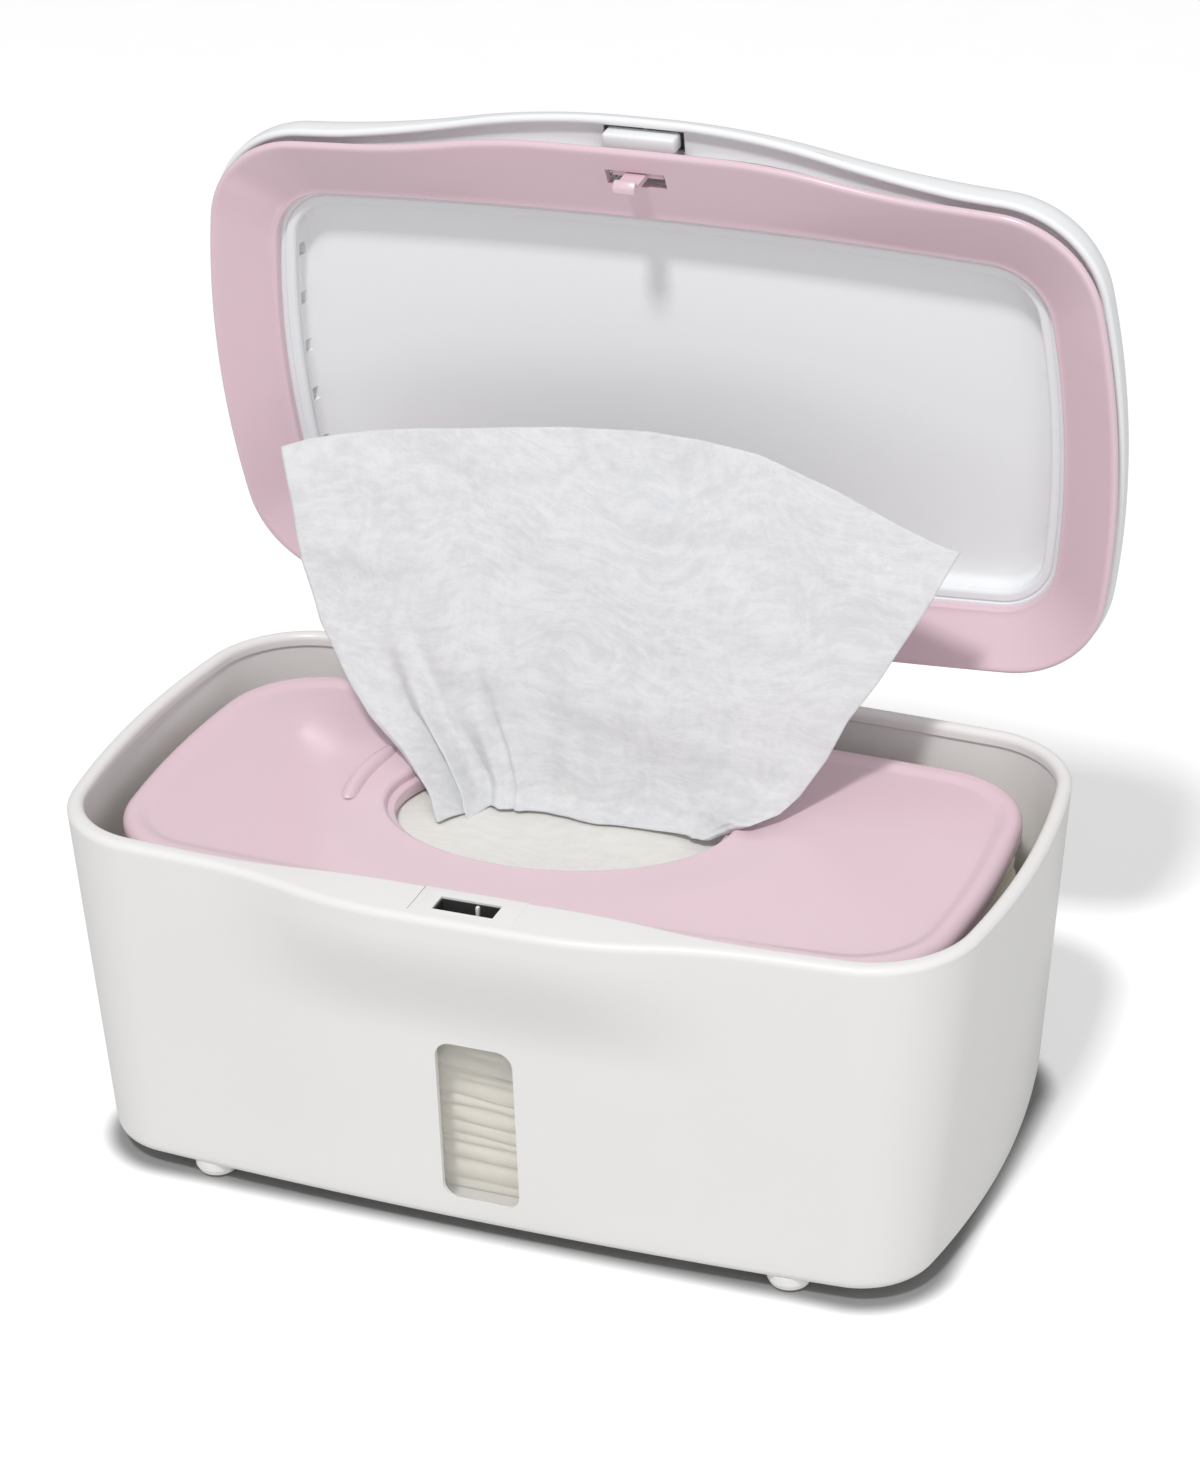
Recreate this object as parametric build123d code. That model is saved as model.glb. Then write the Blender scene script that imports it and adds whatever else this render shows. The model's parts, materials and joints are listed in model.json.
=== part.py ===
from build123d import *
import math
import os

# A countertop dispenser for folded wipes. Millimetres, +Z up, the window in front faces -Y.
# The origin is on the standing plane, under the middle of the tub's plain outline.

# Tub, measured over its plain outline, without the swelling in front
rim_width = 234.0
rim_depth = 126.0
rim_height = 91.2
rim_corner = 27.0
base_width = 219.0
base_depth = 123.0
base_shift = -0.8
base_corner = 19.0
front_bow = 1400.0
side_bow = 235.0
wall = 3.0
floor_thickness = 3.0
base_edge_radius = 3.0
rim_lip_height = 3.5
rim_lip_side = 3.8
rim_lip_front = 4.8
rim_edge_radius = 1.6

# Swelling in the middle of the front, where the latch is
swell = 6.5
swell_flat_half = 18.0
swell_foot_gap = 18.0
swell_height = 36.0
swell_full_height = 6.0
ledge_swell = 3.8

# Feet
foot_height = 4.0
foot_radius = 5.5
foot_flat_radius = 3.2
foot_recess = 0.8
foot_inset_x = 35.5
foot_inset_y = 8.0

# Window in the front wall
window_width = 19.5
window_height = 43.5
window_centre_z = 32.5
window_corner = 4.0
pane_margin = 3.0
pane_thickness = 1.4
pane_recess = 1.6

# Latch catch in the front ledge
catch_width = 25.5
catch_slot_width = 15.0
catch_slot_depth = 5.8
catch_hook_gap = 0.5
catch_plate = 2.4
catch_ledge_margin = 0.6
socket_height = 5.5
socket_wall = 0.8
socket_rib = 1.0

# Hinge at the back
hinge_behind_rim = 6.4
hinge_above_rim = 2.4
hinge_pin_radius = 1.5
hinge_pin_clearance = 0.06
knuckle_radius = 4.2
tub_knuckle_outer = 41.0
tub_knuckle_inner = 31.0
lid_knuckle_outer = 30.5
lid_knuckle_inner = 20.5
spring_case_half = 20.0
spring_half = 15.0
spring_radius = 2.9
spring_bore = 1.9
open_angle = 83.7

# Wipes and the weighted plate that lies on them
stack_side_gap = 7.5
stack_front_gap = 6.0
stack_corner = 8.0
top_wipe_inset = 4.0
sheet_thickness = 1.0
plate_top = 84.6
plate_side_gap = 6.9
plate_front_gap = 8.7
plate_corner = 24.8
plate_cover_height = 4.6
plate_base_height = 3.4
plate_edge_radius = 2.4
plate_skin = 1.6
plate_dish = 0.9
plate_dish_margin = 5.5
opening_length = 86.7
opening_depth = 60.3
opening_shift_x = -4.2
opening_shift_y = 4.5
opening_turn = 4.9
opening_step = 2.0
grip_rib_gap = 8.8
grip_rib_width = 3.0
grip_rib_height = 1.2
grip_rib_radius = 52.0
grip_rib_half_angle = 17.0
weight_length = 38.0
weight_depth = 84.0
weight_thickness = 3.8
weight_inset = 8.0

# Wipe pulled up through the opening
wipe_foot_z = 76.8
wipe_foot_half = 32.0
wipe_foot_turn = 10.0
wipe_foot_x = 2.0
wipe_foot_y = 8.0
wipe_mouth_z = 86.5
wipe_mouth_half = 40.0
wipe_mouth_turn = 6.0
wipe_mouth_x = -5.0
wipe_mouth_y = 12.0
wipe_shoulder_z = 102.0
wipe_shoulder_half = 66.0
wipe_corner_z = 146.7
wipe_top_half = 89.2
wipe_top_z = 162.9
wipe_shift_x = -4.8
wipe_lean = 0.46
wipe_lean_from = 49.8
wipe_fold = 3.2
wipe_foot_fold = 2.2
wipe_folds = 7

# Lid, described closed and then turned open about the hinge
lid_gap = 0.5
lid_height = 19.5
frame_thickness = 2.2
frame_side = 15.0
frame_front = 13.4
frame_front_reach = 3.6
frame_swell = 4.0
frame_flat_half = 22.0
frame_foot_gap = 14.0
frame_opening_corner = 16.0
frame_slope = 7.5
frame_seat = 3.0
frame_slot_width = 15.0
frame_slot_gap = 0.6
shell_wall = 2.2
shell_gap = 2.0
shell_side_reach = 0.5
shell_front_reach = 5.1
shell_swell = 6.9
shell_flat_half = 6.0
shell_foot_gap = 2.0
shell_edge_radius = 12.4
shell_inner_radius = 10.2
shell_arch = 3.5
shell_arch_half = 78.0
liner_wall = 1.5
liner_ring_inset = 4.5
liner_ring_wall = 2.0
gasket_height = 2.2
gasket_width = 4.0
gasket_rim = 1.2
notch_spacing = 13.8
notch_count = 5
notch_width = 3.4
notch_height = 2.2
notch_depth = 1.0

# Release button and latch hook
button_width = 18.4
button_depth = 4.0
button_height = 5.0
button_face_gap = 0.9
button_travel = 1.8
button_lift = 1.2
button_side_gap = 2.0
button_stem_width = 11.0
button_stem_height = 2.4
button_edge_radius = 1.0
hook_width = 5.5
hook_depth = 1.8
hook_reach = 5.1
hook_from_rim = 0.8
hook_bar_width = 13.2
hook_bar_drop = 1.2
beak_height = 2.2
beak_reach = 1.2
return_spring_radius = 1.1
return_spring_bore = 0.6
spring_seat_wall = 1.5

# Clearances
fit_gap = 0.3
slide_gap = 0.3

# Places worked out from the sizes above
base_z = foot_height
floor_top = base_z + floor_thickness
pivot_y = rim_depth / 2 + hinge_behind_rim
pivot_z = rim_height + hinge_above_rim
hook_front = rim_depth / 2 + hook_from_rim
catch_slot_front = hook_front + catch_hook_gap
catch_slot_back = catch_slot_front - catch_slot_depth
frame_slot_front = hook_front + frame_slot_gap
frame_slot_back = hook_front - hook_depth - button_travel - slide_gap
stack_width = min(base_width, rim_width) - 2 * (wall + stack_side_gap)
stack_depth = min(base_depth, rim_depth) - 2 * (wall + stack_front_gap)
top_wipe_width = stack_width - 2 * top_wipe_inset
top_wipe_depth = stack_depth - 2 * top_wipe_inset
plate_width = rim_width - 2 * (rim_lip_side + plate_side_gap)
plate_depth = rim_depth - 2 * (wall + plate_front_gap)
frame_opening_width = rim_width - 2 * frame_side
frame_opening_depth = rim_depth - 2 * frame_front
button_face = rim_depth / 2 + shell_front_reach + shell_swell - shell_wall - button_face_gap
plate_bottom = plate_top - plate_cover_height - plate_base_height
cover_bottom = plate_top - plate_cover_height
top_wipe_top = plate_bottom - fit_gap
stack_top = top_wipe_top - sheet_thickness - fit_gap
frame_z = rim_height + lid_gap
frame_top = frame_z + frame_thickness
seat_top = frame_top + frame_slope
lid_top = frame_z + lid_height
lid_inner_top = lid_top - shell_wall
shell_edge_z = frame_top + shell_gap


def bow_height(radius, x):
    """How far a bowed side has dropped at a distance x from its middle."""
    return radius - math.sqrt(radius * radius - x * x)


def corner_tangents(half_w, half_d, corner):
    """Centre of a corner arc, and where it meets the long side and the short side."""
    long_centre = Vector(0, half_d - front_bow)
    short_centre = Vector(half_w - side_bow, 0)
    long_reach = front_bow - corner
    short_reach = side_bow - corner
    line = short_centre - long_centre
    along = (line.length**2 + long_reach**2 - short_reach**2) / (2 * line.length)
    aside = math.sqrt(long_reach**2 - along**2)
    unit = line.normalized()
    centre = long_centre + unit * along + Vector(unit.Y, -unit.X) * aside
    on_long = centre + (centre - long_centre).normalized() * corner
    on_short = centre + (centre - short_centre).normalized() * corner
    return centre, on_long, on_short


def s_curve(start, start_dir, end, end_dir):
    """Two tangent arcs that join two points with given directions."""
    chord = end - start
    both = start_dir + end_dir
    turn = 2 * (1 - start_dir.dot(end_dir))
    forward = chord.dot(both)
    if turn < 1e-9:
        reach = chord.dot(chord) / (4 * chord.dot(end_dir))
    else:
        reach = (math.sqrt(forward**2 + turn * chord.dot(chord)) - forward) / turn
    middle = (start + start_dir * reach + end - end_dir * reach) * 0.5
    first = TangentArc(start, middle, tangent=start_dir)
    second = TangentArc(middle, end, tangent=-end_dir, tangent_from_first=False)
    return [first, second]


def outline(half_w, half_d, corner, bulge=0.0, centre_y=0.0, flat=swell_flat_half, gap=swell_foot_gap):
    """Plan face with bowed sides and round corners, swollen in front by bulge."""
    centre, on_long, on_short = corner_tangents(half_w, half_d, corner)
    middle = centre + (on_long + on_short - centre * 2).normalized() * corner
    foot = on_long.X - gap

    def front(x, extra):
        return Vector(x, -half_d + bow_height(front_bow, x) - extra)

    def slope(x):
        return Vector(math.sqrt(front_bow**2 - x * x), x).normalized()

    edges = [
        ThreePointArc((-on_long.X, on_long.Y), (0, half_d), (on_long.X, on_long.Y)),
        ThreePointArc(on_long, middle, on_short),
        ThreePointArc(on_short, (half_w, 0), (on_short.X, -on_short.Y)),
        ThreePointArc((on_short.X, -on_short.Y), (middle.X, -middle.Y), (on_long.X, -on_long.Y)),
        ThreePointArc((on_long.X, -on_long.Y), front((on_long.X + foot) / 2, 0), front(foot, 0)),
        *s_curve(front(foot, 0), -slope(foot), front(flat, bulge), -slope(flat)),
        ThreePointArc(front(flat, bulge), front(0, bulge), front(-flat, bulge)),
        *s_curve(front(-flat, bulge), -slope(-flat), front(-foot, 0), -slope(-foot)),
        ThreePointArc(front(-foot, 0), front(-(on_long.X + foot) / 2, 0), (-on_long.X, -on_long.Y)),
        ThreePointArc((-on_long.X, -on_long.Y), (-middle.X, -middle.Y), (-on_short.X, -on_short.Y)),
        ThreePointArc((-on_short.X, -on_short.Y), (-half_w, 0), (-on_short.X, on_short.Y)),
        ThreePointArc((-on_short.X, on_short.Y), (-middle.X, middle.Y), (-on_long.X, on_long.Y)),
    ]
    return Pos(0, centre_y, 0) * Face(Wire(edges))


def prism(face, low, high):
    """A flat face carried straight up from one height to another."""
    return extrude(Pos(0, 0, low) * face, high - low, dir=(0, 0, 1))


def block(x_low, x_high, y_low, y_high, z_low, z_high):
    """A box given by its limits."""
    size = (x_high - x_low, y_high - y_low, z_high - z_low)
    middle = ((x_low + x_high) / 2, (y_low + y_high) / 2, (z_low + z_high) / 2)
    return Pos(*middle) * Box(*size)


def rod(radius, x_low, x_high, y, z):
    """A round bar along X."""
    return Pos((x_low + x_high) / 2, y, z) * Rot(0, 90, 0) * Cylinder(radius, x_high - x_low)


def side_profile(points, x_low, x_high):
    """A solid with a side view given by (y, z) points, from one x to another."""
    face = Face(Polyline([(x_low, y, z) for y, z in points], close=True))
    return extrude(face, x_high - x_low, dir=(1, 0, 0))


def front_profile(face, y_low, y_high):
    """A solid with a front view drawn in X and Z, from one y to another."""
    return extrude(Pos(0, y_high, 0) * Rot(90, 0, 0) * face, y_high - y_low, dir=(0, -1, 0))


def swell_at(z):
    """Share of the front swelling that is left at a height."""
    full = rim_height - swell_full_height
    t = (z - (rim_height - swell_height)) / (full - (rim_height - swell_height))
    t = min(max(t, 0.0), 1.0)
    return t * t * (3 - 2 * t)


def height_share(z):
    """How far up the tub's wall a height is, from 0 at its foot to 1 at its rim."""
    return (z - base_z) / (rim_height - base_z)


def tub_half_depth(z):
    """Half the tub's plain depth at a height."""
    return (base_depth + (rim_depth - base_depth) * height_share(z)) / 2


def wall_reach(z):
    """Distance from the middle to the outside of the front wall at a height."""
    return tub_half_depth(z) + swell * swell_at(z) - base_shift * (1 - height_share(z))


def tub_face(z, inset=0.0):
    """Plan of the tub's wall at a height, moved in by inset."""
    t = height_share(z)
    half_w = (base_width + (rim_width - base_width) * t) / 2 - inset
    half_d = tub_half_depth(z) - inset
    corner = base_corner + (rim_corner - base_corner) * t - inset
    face = outline(half_w, half_d, corner, swell * swell_at(z), base_shift * (1 - t))
    return Pos(0, 0, z) * face


def tub_body(low, high, inset=0.0):
    """The tub's wall filled solid between two heights, moved in by inset."""
    foot = rim_height - swell_height
    full = rim_height - swell_full_height
    steps = 6
    rising = [tub_face(foot + (full - foot) * i / steps, inset) for i in range(steps + 1)]
    body = loft([tub_face(low, inset), rising[0]], ruled=True) + loft(rising)
    return body + loft([rising[-1], tub_face(high, inset)], ruled=True)


def window_face(grow=0.0):
    """Front view of the window, larger all round by grow."""
    shape = RectangleRounded(window_width + 2 * grow, window_height + 2 * grow, window_corner + grow)
    return Pos(0, window_centre_z) * shape


def pane_back():
    """Distance from the middle to the pane's inner face."""
    t = (window_centre_z - base_z) / (rim_height - base_z)
    front = (base_depth + (rim_depth - base_depth) * t) / 2 - base_shift * (1 - t)
    return front - wall


def catch_front():
    """Distance from the middle to the front of the catch, against the wall."""
    return rim_depth / 2 + swell - wall - fit_gap


def catch_back():
    """Distance from the middle to the back of the catch, at the ledge's inner edge."""
    return rim_depth / 2 - rim_lip_front - ledge_swell + catch_ledge_margin


def tub_opening():
    """Plan of the tub's mouth inside its rim, with the ledge in front."""
    half_w = rim_width / 2 - rim_lip_side
    half_d = rim_depth / 2 - (rim_lip_front + rim_lip_side) / 2
    shift = (rim_lip_front - rim_lip_side) / 2
    return outline(half_w, half_d, rim_corner - rim_lip_side, -ledge_swell, shift)


def tub_knuckle_points():
    """Side view of the arm that carries a hinge knuckle on the back of the tub."""
    back = rim_depth / 2 - wall / 2
    return [
        (back, rim_height - 13),
        (back, rim_height - 2),
        (pivot_y - knuckle_radius, pivot_z - 1),
        (pivot_y, pivot_z),
        (pivot_y + knuckle_radius * 0.9, pivot_z - 1.5),
        (pivot_y - 1, pivot_z - 7),
    ]


def tub_shell():
    """Moulded tub with its rim, front ledge, window hole and hinge knuckles."""
    body = tub_body(base_z, rim_height)
    bottom = body.faces().sort_by(Axis.Z)[0]
    body = fillet(bottom.edges(), base_edge_radius)
    top = body.faces().sort_by(Axis.Z)[-1]
    body = fillet(top.edges(), rim_edge_radius)
    lip_z = rim_height - rim_lip_height
    body -= tub_body(floor_top, lip_z, wall)
    body -= prism(tub_opening(), lip_z - 1, rim_height + 1)
    body -= front_profile(window_face(), -rim_depth, -rim_depth / 4)
    pane_front = pane_back() + pane_recess
    body -= front_profile(window_face(pane_margin + fit_gap), -pane_front, -pane_back() + wall)
    half = catch_width / 2 + fit_gap
    mouth = catch_back() - ledge_swell
    body -= block(-half, half, -catch_front(), -mouth, lip_z - 1, rim_height + 1)
    for x, y in foot_places():
        body -= Pos(x, y, base_z + foot_recess / 2) * Cylinder(foot_radius + fit_gap, foot_recess)
    for side in (-1, 1):
        low, high = sorted((side * tub_knuckle_inner, side * tub_knuckle_outer))
        body += side_profile(tub_knuckle_points(), low, high)
        body += rod(knuckle_radius, low, high, pivot_y, pivot_z)
    body += side_profile(tub_knuckle_points(), -spring_case_half, spring_case_half)
    body += rod(knuckle_radius, -spring_case_half, spring_case_half, pivot_y, pivot_z)
    body -= rod(spring_radius + fit_gap, -spring_half - fit_gap, spring_half + fit_gap, pivot_y, pivot_z)
    bore = hinge_pin_radius
    body -= rod(bore, -tub_knuckle_outer - 1, tub_knuckle_outer + 1, pivot_y, pivot_z)
    return body


def foot_places():
    """Where the four feet are."""
    half_x = base_width / 2 - foot_inset_x
    half_y = base_depth / 2 - foot_inset_y
    return [(x, y + base_shift) for y in (-half_y, half_y) for x in (-half_x, half_x)]


def foot(x, y):
    """Soft domed foot with a small flat to stand on."""
    top = base_z + foot_recess
    pad = Pos(x, y, top - foot_recess / 2) * Cylinder(foot_radius, foot_recess)
    shoulder_radius = foot_flat_radius + (foot_radius - foot_flat_radius) * 0.65
    dome = Pos(x, y, 0) * loft(
        [
            Circle(foot_flat_radius),
            Pos(0, 0, foot_height * 0.25) * Circle(shoulder_radius),
            Pos(0, 0, foot_height * 0.6) * Circle(foot_radius * 0.98),
            Pos(0, 0, foot_height) * Circle(foot_radius),
        ],
        ruled=True,
    )
    return pad + dome


def window_pane():
    """Clear pane behind the window hole."""
    front = pane_back() + pane_recess
    return front_profile(window_face(pane_margin), -front, -front + pane_thickness)


def latch_catch():
    """Cap in the ledge with the slot that the hook drops into."""
    half = catch_width / 2
    lip_z = rim_height - rim_lip_height
    top_z = rim_height - 0.1
    cap = block(-half, half, -catch_front(), -catch_back(), lip_z, top_z)
    slot = catch_slot_width / 2
    cap -= block(-slot, slot, -catch_slot_front, -catch_slot_back, lip_z - 1, rim_height + 1)
    under = catch_front() - socket_wall
    cap -= block(-slot, slot, -under, -catch_slot_back, lip_z - 1, top_z - catch_plate)
    return cap


def latch_socket():
    """Dark box under the cap that the hook's beak reaches into."""
    half = catch_width / 2
    top = rim_height - rim_lip_height
    low = top - socket_height
    front = wall_reach(low) - wall - fit_gap
    back = catch_back()
    box = block(-half, half, -front, -back, low, top)
    inner = half - socket_wall
    hollow_low = low + socket_wall
    box -= block(-inner, inner, -front + socket_wall, -back - socket_wall, hollow_low, top + 1)
    rib_front = catch_slot_back + socket_rib
    return box + block(socket_rib, 2 * socket_rib, -rib_front, -back - socket_wall, hollow_low, top)


def hinge_pin():
    """Steel pin through all the knuckles."""
    radius = hinge_pin_radius - 0.01
    return rod(radius, -tub_knuckle_outer, tub_knuckle_outer, pivot_y, pivot_z)


def hinge_spring():
    """Plain sleeve in the place of the torsion spring inside its case."""
    sleeve = rod(spring_radius, -spring_half, spring_half, pivot_y, pivot_z)
    return sleeve - rod(spring_bore, -spring_half - 1, spring_half + 1, pivot_y, pivot_z)


def wipes_stack():
    """Block of folded wipes that stands on the tub's floor."""
    face = Pos(0, base_shift) * RectangleRounded(stack_width, stack_depth, stack_corner)
    return prism(face, floor_top, stack_top)


def top_wipe():
    """The flat wipe on top, on which the plate lies."""
    face = Pos(0, base_shift) * RectangleRounded(top_wipe_width, top_wipe_depth, stack_corner)
    return prism(face, stack_top + fit_gap, top_wipe_top)


def plate_outline(inset=0.0):
    """Plan of the weighted plate, smaller all round by inset."""
    return outline(plate_width / 2 - inset, plate_depth / 2 - inset, plate_corner - inset)


def opening_face(inset=0.0):
    """Plan of the plate's oval opening, smaller all round by inset."""
    oval = Ellipse(opening_length / 2 - inset, opening_depth / 2 - inset)
    return Pos(opening_shift_x, opening_shift_y) * Rot(0, 0, opening_turn) * oval


def weight_face(side, grow=0.0):
    """Plan of one steel weight at the end of the plate."""
    centre = side * (plate_width / 2 - weight_inset - weight_length / 2)
    return Pos(centre, 0) * RectangleRounded(weight_length + 2 * grow, weight_depth + 2 * grow, 6 + grow)


def grip_rib():
    """Short curved rib beside the left end of the opening."""
    centre_x = opening_shift_x - opening_length / 2 - grip_rib_gap + grip_rib_radius
    start = 180 - grip_rib_half_angle
    arc = CenterArc((centre_x, opening_shift_y), grip_rib_radius, start, 2 * grip_rib_half_angle)
    strip = trace(arc, grip_rib_width)
    low = plate_top - plate_dish - 0.3
    return prism(strip, low, plate_top - plate_dish + grip_rib_height)


def plate_cover():
    """Glossy top half of the weighted plate."""
    cover = prism(plate_outline(), cover_bottom, plate_top)
    top = cover.faces().sort_by(Axis.Z)[-1]
    cover = fillet(top.edges(), plate_edge_radius)
    cover -= prism(plate_outline(plate_dish_margin), plate_top - plate_dish, plate_top + 1)
    cover += grip_rib()
    for side in (-1, 1):
        cover -= prism(weight_face(side, fit_gap), cover_bottom - 1, plate_top - plate_dish - plate_skin)
    return cover - prism(opening_face(), cover_bottom - 1, plate_top + 1)


def plate_base():
    """Lower half of the weighted plate, whose oval edge steps in under the cover's."""
    inset = 1.2
    base = prism(plate_outline(inset), plate_bottom, cover_bottom)
    bottom = base.faces().sort_by(Axis.Z)[0]
    base = fillet(bottom.edges(), inset)
    for side in (-1, 1):
        base -= prism(weight_face(side, fit_gap), plate_bottom + plate_skin, cover_bottom + 1)
    return base - prism(opening_face(opening_step), plate_bottom - 1, cover_bottom + 1)


def plate_weight(side):
    """Steel bar held between the plate's halves."""
    low = plate_bottom + plate_skin
    return prism(weight_face(side), low, low + weight_thickness)


def wipe_band(z, half, fold, turn=0.0, x=0.0, y=0.0):
    """Thin folded band across the wipe at one height."""
    step = 2 * half / wipe_folds
    low = sheet_thickness / 2

    def chain(offset):
        arcs = []
        for i in range(wipe_folds):
            start = i * step - half
            side = 1 if i % 2 else -1
            middle = (start + step / 2, offset + side * fold)
            arcs.append(ThreePointArc((start, offset), middle, (start + step, offset)))
        return arcs

    left = Line((-half, -low), (-half, low))
    right = Line((half, -low), (half, low))
    return Pos(x, y, z) * Rot(0, 0, turn) * Face(Wire([*chain(-low), right, *chain(low), left]))


def lean_y(z):
    """How far back the pulled wipe leans at a height."""
    return (z - wipe_lean_from) * wipe_lean


def pulled_wipe():
    """Wipe that stands up out of the opening, gathered below and spread above."""
    spread = (wipe_top_half - wipe_shoulder_half) / (wipe_corner_z - wipe_shoulder_z)
    over_half = wipe_top_half + spread * (wipe_top_z - wipe_corner_z)
    x = wipe_shift_x
    bands = [
        wipe_band(wipe_foot_z, wipe_foot_half, wipe_foot_fold, wipe_foot_turn, wipe_foot_x, wipe_foot_y),
        wipe_band(wipe_mouth_z, wipe_mouth_half, wipe_foot_fold, wipe_mouth_turn, wipe_mouth_x, wipe_mouth_y),
        wipe_band(wipe_shoulder_z, wipe_shoulder_half, wipe_fold, 0, x, lean_y(wipe_shoulder_z)),
        wipe_band(wipe_corner_z, wipe_top_half, wipe_fold, 0, x, lean_y(wipe_corner_z)),
        wipe_band(wipe_top_z, over_half, wipe_fold, 0, x, lean_y(wipe_top_z)),
    ]
    sheet = loft(bands, ruled=True)
    half = wipe_top_half
    low = wipe_foot_z - 1
    edges = [
        Line((-half, wipe_corner_z), (-half, low)),
        Line((-half, low), (half, low)),
        Line((half, low), (half, wipe_corner_z)),
        ThreePointArc((half, wipe_corner_z), (0, wipe_top_z), (-half, wipe_corner_z)),
    ]
    return sheet & front_profile(Pos(x, 0) * Face(Wire(edges)), -rim_depth, rim_depth)


def opened(piece):
    """A lid piece turned from closed to open about the hinge."""
    return Pos(0, pivot_y, pivot_z) * Rot(-open_angle, 0, 0) * Pos(0, -pivot_y, -pivot_z) * piece


def lid_outline(inset=0.0):
    """Plan of the lid's frame, which matches the tub's rim and reaches past it in front."""
    half_w = rim_width / 2 - inset
    half_d = (rim_depth + frame_front_reach) / 2 - inset
    shift = -frame_front_reach / 2
    return outline(half_w, half_d, rim_corner - inset, frame_swell, shift, frame_flat_half, frame_foot_gap)


def shell_outline(inset=0.0):
    """Plan of the lid's outer shell, which reaches further forward than the rim."""
    half_w = rim_width / 2 + shell_side_reach - inset
    half_d = rim_depth / 2 + (shell_side_reach + shell_front_reach) / 2 - inset
    shift = (shell_side_reach - shell_front_reach) / 2
    corner = rim_corner + shell_side_reach - inset
    return outline(half_w, half_d, corner, shell_swell, shift, shell_flat_half, shell_foot_gap)


def frame_opening(grow=0.0):
    """Plan of the hole in the lid's frame, larger all round by grow."""
    half_w = frame_opening_width / 2 + grow
    half_d = frame_opening_depth / 2 + grow
    return outline(half_w, half_d, frame_opening_corner + grow)


def lid_frame():
    """Coloured frame on the lid's underside, dished towards its opening."""
    cone_low = loft([Pos(0, 0, frame_z) * lid_outline(), Pos(0, 0, frame_z + frame_slope) * frame_opening()])
    cone_high = loft([Pos(0, 0, frame_top) * lid_outline(), Pos(0, 0, seat_top) * frame_opening()])
    body = prism(lid_outline(), frame_z, frame_top) + cone_high
    body += prism(frame_opening(frame_seat), frame_z + frame_slope, seat_top)
    body -= cone_low
    body -= prism(frame_opening(), frame_z, seat_top + 1)
    half = frame_slot_width / 2
    return body - block(-half, half, -frame_slot_front, -frame_slot_back, frame_z - 1, seat_top)


def lid_gasket():
    """Soft ring that lies on the frame's edge."""
    ring = frame_opening(gasket_rim) - frame_opening(-gasket_width)
    return prism(ring, seat_top, seat_top + gasket_height)


def lid_liner():
    """White tray inside the lid, with a shelf and a ring that close the gap round the frame."""
    cavity = fit_gap - gasket_width
    rebate_top = seat_top + gasket_height
    shelf_top = rebate_top + liner_wall
    liner_top = lid_inner_top - fit_gap
    floor_z = liner_top - liner_wall
    outer = frame_opening(frame_seat)
    tray = prism(outer - frame_opening(gasket_rim + fit_gap), seat_top, rebate_top)
    tray += prism(lid_outline(liner_ring_inset) - frame_opening(cavity), rebate_top, shelf_top)
    tray += prism(outer - frame_opening(cavity), shelf_top, floor_z)
    tray += prism(outer, floor_z, liner_top)
    ring_z = seat_top - frame_slope / 2 + fit_gap
    ring = lid_outline(liner_ring_inset) - lid_outline(liner_ring_inset + liner_ring_wall)
    tray += prism(ring, ring_z, rebate_top)
    notch_x = frame_opening_width / 2 + cavity + notch_depth
    notch_z = rebate_top + notch_depth
    for i in range(notch_count):
        y = (i - (notch_count - 1) / 2) * notch_spacing
        low, high = y - notch_width / 2, y + notch_width / 2
        tray -= block(-notch_x, notch_x, low, high, notch_z, notch_z + notch_height)
    half = button_width / 2 + button_side_gap
    tray -= block(-half, half, -rim_depth, -spring_seat(), ring_z - 1, rebate_top)
    seat_back = spring_seat() - spring_seat_wall
    return tray + block(-half, half, -spring_seat(), -seat_back, button_low() + spring_seat_wall, shelf_top)


def lid_knuckle_points():
    """Side view of the arm that joins a lid knuckle to the back of the lid."""
    back = rim_depth / 2 + shell_side_reach - shell_wall / 2
    return [
        (back, shell_edge_z + 2),
        (back, shell_edge_z + 7),
        (back + 5, shell_edge_z + 6),
        (pivot_y + knuckle_radius * 0.9, pivot_z + 2),
        (pivot_y, pivot_z),
        (pivot_y - knuckle_radius * 0.8, pivot_z + 2.4),
    ]


def lid_shell():
    """White outer shell of the lid, arched up in front over the release button."""
    body = prism(shell_outline(), shell_edge_z, lid_top)
    top = body.faces().sort_by(Axis.Z)[-1]
    body = fillet(top.edges(), shell_edge_radius)
    hollow = prism(shell_outline(shell_wall), shell_edge_z - 1, lid_inner_top)
    roof = hollow.faces().sort_by(Axis.Z)[-1]
    body -= fillet(roof.edges(), shell_inner_radius)
    arch = [
        ThreePointArc(
            (-shell_arch_half, shell_edge_z), (0, shell_edge_z + shell_arch), (shell_arch_half, shell_edge_z)
        ),
        Line((shell_arch_half, shell_edge_z), (shell_arch_half, shell_edge_z - 5)),
        Line((shell_arch_half, shell_edge_z - 5), (-shell_arch_half, shell_edge_z - 5)),
        Line((-shell_arch_half, shell_edge_z - 5), (-shell_arch_half, shell_edge_z)),
    ]
    body -= front_profile(Face(Wire(arch)), -rim_depth, -rim_depth / 4)
    for side in (-1, 1):
        low, high = sorted((side * lid_knuckle_inner, side * lid_knuckle_outer))
        body += side_profile(lid_knuckle_points(), low, high)
        body += rod(knuckle_radius, low, high, pivot_y, pivot_z)
    bore = hinge_pin_radius + hinge_pin_clearance
    return body - rod(bore, -lid_knuckle_outer - 1, lid_knuckle_outer + 1, pivot_y, pivot_z)


def button_low():
    """Height of the release button's lower face, closed."""
    return shell_edge_z + button_lift


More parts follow.
